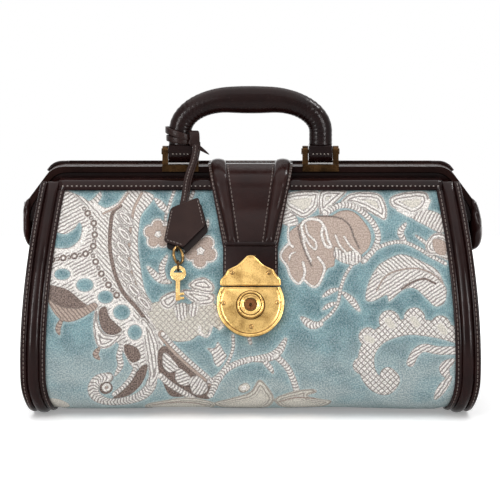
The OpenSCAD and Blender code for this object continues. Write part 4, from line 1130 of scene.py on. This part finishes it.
def gripPath():
    # up one leg, round a quarter ellipse, across, and down the other leg
    turn = np.linspace(math.pi, math.pi / 2, 40)
    reach = np.array([handle["bendWidth"], handle["bendHeight"]])
    centre = np.array([handle["bendWidth"] - handle["legX"], handle["gripZ"] - handle["bendHeight"]])
    left = np.concatenate([
        [[-handle["legX"], handle["foot"]]], centre + reach * circle(turn)])
    line = np.concatenate([left, left[::-1] * [-1, 1]])
    line = resample(line, handle["rows"])
    return np.stack([line[:, 0], np.full(len(line), handle["y"]), line[:, 1]], -1)


def buildGrip():
    path = gripPath()
    along = tangents(path)
    side = np.broadcast_to([0.0, 1.0, 0.0], path.shape)
    inPlane = np.cross(along, side)
    length = arcLength(path)
    share = length / length[-1]
    swell = handle["half"] + (handle["midHalf"] - handle["half"]) * np.sin(math.pi * share) ** 6
    turn = np.linspace(0, 2 * math.pi, handle["columns"], endpoint=False)
    # wrinkles cross the skin where it bends, and fade on the straight stretches
    bendAmount = np.exp(-((np.abs(path[:, 0]) - handle["wrinkleX"]) / handle["wrinkleHalf"]) ** 2)
    wave = np.sin(length[:, None] * 1.7 + 1.5 * np.sin(2 * turn + 0.8)[None])
    wrinkle = handle["crease"] * bendAmount[:, None] * wave * (0.4 + 0.6 * np.sin(turn + 0.9)[None] ** 2)
    seamDip = -0.5 * np.exp(-(np.sin((turn + math.pi / 2) / 2) / 0.07) ** 2)[None]
    lean = 0.35 * np.sin(length / 31)[:, None] * np.cos(turn)[None]
    radius = wrinkle + seamDip + lean
    profile = np.stack([
        np.cos(turn)[None] * (handle["half"] - 0.4 + radius),
        np.sin(turn)[None] * (swell[:, None] - 0.2 + radius)], -1)
    points = sweep(path, side, inPlane, profile)
    piece = makePiece("handleGrip", [tube(points)], [handleCalf], outward=True)
    finishPiece(piece, "handle", "leather", "handle_grip")


buildGrip()
for sideName in ("left", "right"):
    softCopy(sideName + "HandleEnd", sideName + "_handle_end", "handle", "leather", 1.1, [handleCalf],
             segments=3)
    softCopy(sideName + "Bracket", sideName + "_bracket", "bag", "brass", 0.5, [agedBrass])
softCopy("handlePins", "handle_pins", "bag", "brass", 0.3, [agedBrass])
# short row of stitches across the foot of each handle end, on its front
for sign, sideName in ((-1, "Left"), (1, "Right")):
    x = np.linspace(-handle["seamHalf"], handle["seamHalf"], 20) + sign * handle["legX"]
    row = np.stack([x, np.full(20, handle["endFront"]), np.full(20, handle["endSeam"])], -1)
    up = np.broadcast_to([0, -1.0, 0], row.shape)
    sewLines("handleEndStitches" + sideName, "handle",
             [(row, up, handle["seamPitch"], handle["seamPart"])], handleCalf, paleThread)
print("handle made")


# Tab: one strap from the top plate over the front, with two padded ridges and a cross band

tab = dict(
    thick=2.6, topWidth=69, endWidth=43, topZ=197.9, bandZ=134.5, anchorBack=-3, rows=120,
    ridgeTopX=26, ridgeEndX=13.6, ridgeTopWidth=12.6, ridgeEndWidth=6.6, ridgeHeight=3.8, ridgeEndZ=136.4,
    ridgeBack=-6, bandHalf=1.7, bandHeight=1.9, bandWidth=42, ridgeSeam=1.3, edgeSeam=1.7,
    ridgeSeamFrom=-19, edgeSeamFrom=-18.5, anchorSeam=-5.0, anchorHalf=31,
)


def tabPath():
    # inner face as depth and height: level on the plate, over its edge, then down along the front
    heights = (160.9, 153.4, 146, 138.5, 130.8, 123.2, 115.5, 107.9)
    offsets = [(175.8, 3.95), (168.3, 2.78)] + [(z, 1.6) for z in heights]
    onFront = [panelAt(arcAt(z), out)[0] for z, out in offsets]
    start = [(y, bag["frameTop"]) for y in (tab["anchorBack"], -9, -15.5)] + [(-20.5, 193.2), (-32.4, 186.4)]
    return resample(smoothLine(np.concatenate([start, onFront]), steps=10), tab["rows"])


def tabWidth(z):
    return tab["endWidth"] + (tab["topWidth"] - tab["endWidth"]) * np.clip(
        (z - tab["bandZ"]) / (tab["topZ"] - tab["bandZ"]), 0, 1)


def tabFrame():
    line = tabPath()
    way = tangents(line)
    # a stretch that rises towards the plate's edge is turned over, and lies in the plate
    normal = np.stack([np.zeros(len(line)), way[:, 1], -way[:, 0]], -1)
    normal = np.where(normal[:, 1:2] > 0, -normal, normal)
    path = np.stack([np.zeros(len(line)), line[:, 0], line[:, 1]], -1)
    return path, normal


def buildStrap(path, normal, side, half):
    # two leathers: soft down to the cross band, and glazed below it
    unitBox = roundedBox(1, tab["thick"] / 2, 0.95, steps=4)
    across = np.sign(unitBox[:, 0]) * (half[:, None] - (1 - np.abs(unitBox[:, 0])))
    profile = np.stack([across, np.broadcast_to(unitBox[:, 1] + tab["thick"] / 2, across.shape)], -1)
    points = sweep(path, side, normal, profile)
    _, (walls, *caps), _ = tube(points)
    low = path[walls.min(1) // points.shape[1], 2] < tab["bandZ"]
    piece = makePiece("tabStrap", [(points, [walls[~low]] + caps, 0), (points, [walls[low]], 1)],
                      [softCalf, glazedCalf], outward=True)
    editMesh(piece.data, merge=0.001, outward=True)
    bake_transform(piece)
    finishPiece(piece, None, "leather", "tab_strap", "tab_anchor")


def buildRidges(path, normal, side, half):
    # half-round padded rolls on the strap's outer face, drawn in at both ends, and the seams beside them
    onTab = (path[:, 1] < tab["ridgeBack"]) & (path[:, 2] > tab["ridgeEndZ"])
    line, up = path[onTab] + tab["thick"] * normal[onTab], normal[onTab]
    share = np.clip((tab["topZ"] - line[:, 2]) / (tab["topZ"] - tab["ridgeEndZ"]), 0, 1)
    middle = tab["ridgeTopX"] + (tab["ridgeEndX"] - tab["ridgeTopX"]) * share
    width = (tab["ridgeTopWidth"] + (tab["ridgeEndWidth"] - tab["ridgeTopWidth"]) * share) / 2
    run = arcLength(line)
    ends = np.sqrt(np.clip(np.minimum(run + 0.3, run[-1] - run + 0.3) / 4, 0, 1))
    turn = np.linspace(0, math.pi, 13)
    ridgeUp = tab["ridgeHeight"] * ends[:, None] * np.sin(turn)[None] ** 0.75 - 0.15
    parts, rows = [], []
    for sign in (-1, 1):
        x = sign * middle[:, None] + width[:, None] * np.cos(turn)[None]
        profile = np.stack([x, ridgeUp], -1)
        points = sweep(line, side[onTab], up, profile)
        parts.append(tube(points))
        for shift in (-1, 1):
            off = (sign * middle + shift * (width + tab["ridgeSeam"]))[:, None] * [1, 0, 0]
            seen = line[:, 1] < tab["ridgeSeamFrom"]
            rows.append((line[seen] + off[seen], up[seen]))
        below = path[:, 1] < tab["edgeSeamFrom"]
        edge = (sign * (half[below] - tab["edgeSeam"]))[:, None] * [1, 0, 0]
        rows.append((path[below] + tab["thick"] * normal[below] + edge, normal[below]))
    ridges = makePiece("tabRidges", parts, [softCalf], outward=True)
    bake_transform(ridges)
    finishPiece(ridges, None, "leather", "tab_ridges")
    sewLines("tabStitches", "tab", rows, softCalf)
    x = np.linspace(-tab["anchorHalf"], tab["anchorHalf"], 40)
    across = np.stack([x, np.full(40, tab["anchorSeam"]), np.full(40, bag["frameTop"] + tab["thick"])], -1)
    sewLines("anchorStitches", "bag", [(across, np.broadcast_to([0, 0, 1.0], across.shape))], softCalf)


def buildBand(path, normal):
    # narrow roll across, with rounded ends, that covers the ridges' ends
    middle = np.argmin(np.abs(path[:, 2] - tab["bandZ"] - 2))
    x = np.linspace(-tab["bandWidth"] / 2, tab["bandWidth"] / 2, 50)
    taper = np.sqrt(np.clip((tab["bandWidth"] / 2 + 0.2 - np.abs(x)) / 2, 0, 1))
    turn = np.linspace(0, math.pi, 13)
    bar = path[middle] + tab["thick"] * normal[middle] + x[:, None] * [1, 0, 0]
    along = np.broadcast_to(np.cross(normal[middle], [1.0, 0, 0]), bar.shape)
    roll = np.stack([tab["bandHalf"] * np.cos(turn), tab["bandHeight"] * np.sin(turn) ** 0.8], -1)
    points = sweep(bar, along, np.broadcast_to(normal[middle], bar.shape), taper[:, None, None] * roll)
    band = makePiece("tabBand", [tube(points)], [glazedCalf], outward=True)
    finishPiece(band, "tab", "leather", "tab_band")


tabLine, tabOut = tabFrame()
tabSide = np.broadcast_to([1.0, 0, 0], tabLine.shape)
tabHalf = tabWidth(tabLine[:, 2]) / 2
buildStrap(tabLine, tabOut, tabSide, tabHalf)
buildRidges(tabLine, tabOut, tabSide, tabHalf)
buildBand(tabLine, tabOut)
print("tab made")


# Hardware on the front: places are across, up along the front and out from it, at one height

def onPlane(z, x, s, out):
    point, normal = panelAt(arcAt(z))
    x, s, out = np.broadcast_arrays(np.asarray(x, float), np.asarray(s, float), np.asarray(out, float))
    y = point[0] + s * normal[1] + out * normal[0]
    return np.stack([x, y, point[1] - s * normal[0] + out * normal[1]], -1)


def planeOut(z):
    _, normal = panelAt(arcAt(z))
    return np.array([0, normal[0], normal[1]])


def planeBead(z, line, out, halfW, height, closed=True):
    # raised half-round border along a line on one plane
    line = np.asarray(line, float)
    path = onPlane(z, line[:, 0], line[:, 1], out)
    up = np.broadcast_to(planeOut(z), path.shape)
    side = np.cross(tangents(path, closed=closed), up)
    turn = np.linspace(0, 2 * math.pi, 12, endpoint=False)
    points = sweep(path, side, up, [halfW, height] * circle(turn))
    return tube(points, closed)


# hasp: right half of its outline as shares of its width and height
hasp = dict(z=116, width=47.6, height=24.4, low=0.475, face=6.5, inset=0.95, beadHalf=0.7, beadHeight=0.6)
haspShares = [(0.5, 0), (0.5, 0.19), (0.425, 0.335), (0.38, 0.52), (0.21, 0.68), (0.12, 0.86), (0.05, 1)]
lock = dict(
    z=93, radius=26.4, face=4.25, rim=1.2, rimHeight=0.7, flat=12.2, line=2.75, lineHalf=0.3,
    lineHeight=0.12, lipHalf=23, lipAt=11.2, lipOut=2.6, buttonDrop=-1.5,
)
# rings round the lock's button: body, radius, height out, half width, bead height and brass; those in aged
# brass are dark lines of painted shade, for the shadow round the collar and the grooves between the rings,
# and the last is a dark dot of painted shade for the keyhole in the plug
lockRings = [
    ("bag", 11.0, 4.25, 0.5, 0.15, agedBrass),
    ("bag", 9.5, 9.2, 0.85, 0.7, gilt),
    ("bag", 8.62, 9.22, 0.22, 0.2, agedBrass),
    ("lock_button", 7.5, 9.4, 0.75, 0.65, gilt),
    ("lock_button", 5.0, 8.38, 0.3, 0.12, agedBrass),
    ("lock_plug", 0.62, 7.3, 0.62, 0.5, agedBrass),
]


def haspBorder(inset):
    half = np.array(haspShares) * [hasp["width"], hasp["height"]] - [0, hasp["low"] * hasp["height"]]
    outline = np.concatenate([half[::-1] * [-1, 1], half])
    line = resample(np.concatenate([outline, outline[:1]]), 240)[:-1]
    for _ in range(6):
        line = 0.5 * line + 0.25 * (np.roll(line, 1, 0) + np.roll(line, -1, 0))
    way = tangents(line, closed=True)
    return line + inset * np.stack([-way[:, 1], way[:, 0]], -1)


def lockBorder(inset):
    # arc inside the plate's edge, up to its flat top
    radius = lock["radius"] - inset
    end = math.asin(lock["flat"] / radius)
    turn = np.linspace(math.pi - end, 2 * math.pi + end, 200)
    return radius * circle(turn)


def buildBead(name, body, brass, *border, closed=True):
    bead = makePiece(name, [planeBead(*border, closed=closed)], [brass], outward=True)
    finishPiece(bead, body, "brass")


def buildHardware():
    softCopy("haspPlate", "hasp_plate", "tab", "brass", 0.45, [gilt])
    buildBead("haspRim", "tab", gilt, hasp["z"], haspBorder(hasp["inset"]), hasp["face"],
              hasp["beadHalf"], hasp["beadHeight"])
    softCopy("haspRivets", "hasp_rivets", "tab", "brass", 0, [wornBrass], angle=60)
    softCopy("lockPlate", "lock_plate", "bag", "brass", 0.4, [gilt])
    # raised border, a thin bead of darker brass inside it that stands for an engraved groove as painted
    # shade, and the lip along the top that the hasp shuts down to
    for name, brass, inset, halfW, height in (
            ("lockRim", gilt, lock["rim"], lock["rim"], lock["rimHeight"]),
            ("lockGrooveShade", wornBrass, lock["line"], lock["lineHalf"], lock["lineHeight"])):
        border = lockBorder(inset)
        buildBead(name, "bag", brass, lock["z"], border, lock["face"], halfW, height, closed=False)
    x = np.linspace(-lock["lipHalf"], lock["lipHalf"], 24)
    path = onPlane(lock["z"], x, lock["lipAt"], lock["lipOut"])
    up = np.broadcast_to(planeOut(lock["z"]), path.shape)
    points = sweep(path, np.cross(tangents(path), up), up, roundedBox(1.5, 1.6, 0.3, steps=3))
    lip = makePiece("lockLip", [tube(points)], [gilt], outward=True)
    finishPiece(lip, "bag", "brass")
    turn = np.linspace(0, 2 * math.pi, 72, endpoint=False)
    for order, (body, radius, out, halfW, height, brass) in enumerate(lockRings):
        line = radius * circle(turn) + [0, lock["buttonDrop"]]
        buildBead("lockRing%d" % order, body, brass, lock["z"], line, out, halfW, height)
    softCopy("lockRivets", "lock_rivets", "bag", "brass", 0, [wornBrass], angle=60)
    softCopy("lockRing", "lock_ring", "bag", "brass", 0.25, [gilt])
    softCopy("lockButton", "lock_button", "lock_button", "brass", 0.25, [gilt])
    softCopy("lockPlug", "lock_plug", "lock_plug", "brass", 0.15, [plugBrass])


buildHardware()
print("hardware made")


# Key holder: two leather leaves on a lace that is knotted round the handle's left leg

holder = dict(
    z=135, gap=2, leafOut=2.3, leafThick=2, sewIn=2.125, sewPitch=2.6, keyX=-56.5, keyS=-23.6, keyOut=6.61,
    keyHalf=0.7, bowHole=3.5,
)
leaf = [(-63, 31), (-41, 40), (-35, 17), (-53, -2), (-68, 3)]
lace = dict(
    width=6.4, thick=1.8, loopRadius=10.7, legX=-56, legY=-8, knotWidth=7.8, tailWidth=5.2, narrow=1.3,
    broadShift=-0.75, narrowShift=2.55, sewPitch=2.6,
)
laceLine = [
    (-43.1, -18.3, 213.9), (-43.1, -22, 208), (-44.8, -27.5, 200), (-47.8, -32.5, 192), (-50, -37, 184),
    (-51, -41.5, 176), (-52, -45.4, 170.76), (-52.6, -47.4, 167.6),
]
# loops round the leg: middle height, tilt, width and how far out they lie; the last is the upper one
laceLoops = [(215.2, 1.4, 4.6, 0.0), (219.6, 3.6, 5.2, 0.75)]
laceTail = [
    (-48.5, -18.6, 215.5), (-44.5, -20.0, 212.6), (-40, -20.6, 209.4), (-36, -20.2, 206.6),
    (-33, -19.4, 204.4),
]
laceKnot = [
    (-45.6, -15.6, 222.4), (-44.7, -19.0, 221.6), (-44.3, -20.6, 218), (-44.3, -20.4, 214),
    (-44.3, -18.8, 211.0),
]


def strap(path, side, width, thick, radius=0.5):
    # flat lace with rounded edges; its width may change along the path
    up = unit(np.cross(tangents(path), side))
    box = roundedBox(1, thick / 2, radius, steps=3)
    half = np.broadcast_to(np.asarray(width, float) / 2, (len(path),))
    across = np.sign(box[:, 0])[None] * np.maximum(half[:, None] - (1 - np.abs(box[:, 0]))[None], 0.15)
    profile = np.stack([across, np.broadcast_to(box[:, 1], across.shape)], -1)
    return sweep(path, side, up, profile)


def buildLace():
    parts = []
    turn = np.linspace(0, 2 * math.pi, 72, endpoint=False)
    for middle, tilt, width, out in laceLoops:
        radius = lace["loopRadius"] + out
        path = np.stack([
            lace["legX"] + radius * np.cos(turn), lace["legY"] + radius * np.sin(turn),
            middle - tilt * np.cos(turn)], -1)
        outWay = np.stack([np.cos(turn), np.sin(turn), 0 * turn], -1)
        upWay = np.cross(outWay, tangents(path, closed=True))
        points = sweep(path, upWay, outWay, roundedBox(width / 2, 0.8, 0.55, steps=3))
        parts.append(tube(points, closedPath=True))
    # knot over both loops, and the pointed end of the lace
    tail = resample(smoothLine(laceTail), 40)
    share = np.linspace(0, 1, 40)
    side = np.broadcast_to(unit(np.array([0.45, -0.1, 0.9])), tail.shape)
    parts.append(tube(strap(tail, side, lace["tailWidth"] * (1 - share) ** 0.7 + 0.4, 1.5)))
    knot = resample(smoothLine(laceKnot), 40)
    parts.append(tube(strap(knot, np.broadcast_to([1.0, 0, 0], knot.shape), lace["knotWidth"], 1.6)))
    loop = makePiece("laceLoop", parts, [laceCalf], outward=True)
    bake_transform(loop)
    finishPiece(loop, None, "leather", "clochette_strap")

    # hanging run: a broad lace with a narrow one beside it
    path = resample(smoothLine(laceLine), 60)
    side = np.broadcast_to([1.0, 0, 0], path.shape)
    middle = path + [lace["broadShift"], 0, 0]
    broad = strap(middle, side, lace["width"] + 2 * lace["broadShift"], lace["thick"])
    beside = path + [lace["narrowShift"], 0.1, 0]
    narrow = strap(beside, side, lace["narrow"], lace["thick"] - 0.5, radius=0.4)
    up = unit(np.cross(tangents(path), side))
    up = np.where(up[:, 1:2] > 0, -up, up)
    sewn = stitchRow((middle + up * lace["thick"] / 2)[2:-2], up[2:-2], lace["sewPitch"])
    run = makePiece("laceRun", [tube(broad), tube(narrow), sewn], [laceCalf, thread], outward=True)
    finishPiece(run, "lace", "leather", "clochette_strap")


def buildHolder():
    softCopy("clochetteFront", "clochette_front", "clochette", "leather", 0.7, [laceCalf], segments=3)
    softCopy("clochetteBack", "clochette_back", "clochette", "leather", 0.6, [cutEdge], segments=3)
    softCopy("clochetteRing", "clochette_ring", "clochette", "brass", 0, [wornBrass], angle=60, fuller=0.35)
    softCopy("keyRing", "key_ring", "clochette", "brass", 0, [agedBrass], angle=60, fuller=0.2)
    softCopy("brassKey", "key", "key", "brass", 0.45, [keyBrass], segments=3)
    # lower half of the key's bow, shut, so that its hole is a small half round
    turn = np.linspace(math.pi - 0.1, 2 * math.pi + 0.1, 30)
    across = holder["keyX"] + holder["bowHole"] * np.cos(turn)
    along = holder["keyS"] + holder["bowHole"] * np.sin(turn)
    outs = holder["keyOut"] + holder["keyHalf"] * np.array([[-1], [1]])
    points = onPlane(holder["z"], across[None], along[None], outs)
    web = makePiece("keyWeb", [tube(points)], [keyBrass], outward=True, smooth=False)
    finishPiece(web, "key", "brass")
    face = holder["gap"] + holder["leafOut"] + holder["leafThick"]
    corners = np.array(leaf, float)
    middle = corners.mean(0)
    rows = []
    for first, last in ((0, 4), (4, 3), (1, 2)):
        ends = corners[[first, last]]
        ends = ends + unit(middle - ends) * holder["sewIn"]
        line = resample(ends, 20)
        line = onPlane(holder["z"], line[:, 0], line[:, 1], face)
        rows.append((line, np.broadcast_to(planeOut(holder["z"]), line.shape), holder["sewPitch"]))
    sewLines("clochetteStitches", "clochette", rows, laceCalf)


buildLace()
buildHolder()
print("key holder made")


# CAD pieces that keep their shape take their materials here
cadLooks = {
    "base_board": greyBoard, "lock_backplate": agedBrass, "hinge_pins": agedBrass,
}
for name, material in cadLooks.items():
    slots = bpy.data.objects[name].data.materials
    slots.clear()
    slots.append(material)


# Studio

studio = dict(
    lens=180, sensor=36, cameraAt=(-0.4, -2002.6, 406.2), lookAt=(-0.4, -22.0, 127.8),
    floor=1.0, roomPower=0.3, floorGlow=0.3,
)


def seenRays(tree):
    # 1 for what is seen by the camera, in metal or through glass, and 0 for what only gives light
    rays = node(tree, "LightPath").node.outputs
    seen = node(tree, "Math", rays["Is Camera Ray"], rays["Is Glossy Ray"], operation="MAXIMUM")
    return node(tree, "Math", seen, rays["Is Transmission Ray"], operation="MAXIMUM")


def makeFloor():
    # pale paper floor, lifted to white where it is seen, which keeps only the object's shadow
    material, tree, shader = newMaterial("white_paper_floor")
    glow = node(tree, "Math", seenRays(tree), studio["floorGlow"], operation="MULTIPLY")
    fill(tree, shader, {
        "Base Color": "#fdfdfd", "Roughness": 0.9, "Specular IOR Level": 0.1, "Emission Color": "#ffffff",
        "Emission Strength": glow})
    half = studio["floor"] / mm
    points = np.array([[-half, -half, 0], [half, -half, 0], [half, half, 0], [-half, half, 0]])
    floor = makePiece("floor", [(points, [np.array([[0, 1, 2, 3]])], 0)], [material])


def aim(thing, target):
    way = Vector(np.array(target) * mm) - thing.location
    thing.rotation_euler = way.to_track_quat("-Z", "Y").to_euler()


def areaLight(name, place, target, size, power, shine=False):
    data = bpy.data.lights.new(name, "AREA")
    data.shape = "RECTANGLE"
    data.size, data.size_y = size
    data.energy = power
    lamp = bpy.data.objects.new(name, data)
    lamp.location = np.array(place) * mm
    lamp.visible_camera = False
    lamp.visible_diffuse = not shine
    aim(lamp, target)
    bpy.context.scene.collection.objects.link(lamp)


def makeWorld():
    # white where it is seen, dimmer as a light
    world = bpy.data.worlds.new("studio")
    world.use_nodes = True
    tree = world.node_tree
    tree.nodes.clear()
    strength = node(tree, "MapRange", seenRays(tree), 0, 1, studio["roomPower"], 1)
    light = node(tree, "Background", "#ffffff", strength)
    node(tree, "OutputWorld", light)
    bpy.context.scene.world = world


def makeCamera():
    data = bpy.data.cameras.new("camera")
    data.lens = studio["lens"]
    data.sensor_width = studio["sensor"]
    data.clip_end = 50
    camera = bpy.data.objects.new("camera", data)
    camera.location = np.array(studio["cameraAt"]) * mm
    aim(camera, studio["lookAt"])
    bpy.context.scene.collection.objects.link(camera)
    bpy.context.scene.camera = camera


makeFloor()
makeWorld()
makeCamera()
# name, place, target, size in metres and power; the last three are seen only as streaks in gloss
for lamp in (
        ("overhead", (0, -200, 1900), (0, -200, 0), (3.0, 3.0), 54),
        ("key", (-650, -1350, 950), (0, -40, 110), (0.9, 0.7), 6),
        ("backdrop", (0, 1500, 350), (0, 0, 150), (3.0, 0.9), 6),
        ("rim", (1100, 350, 1450), (40, -8, 230), (0.4, 0.4), 20, True),
        ("leftStrip", (-1210, -1300, 400), (-150, -40, 90), (0.34, 1.3), 34, True),
        ("rightStrip", (1210, -1300, 400), (150, -40, 90), (0.34, 1.3), 34, True)):
    areaLight(*lamp)
bpy.context.scene.view_settings.view_transform = "Standard"
print("studio made")
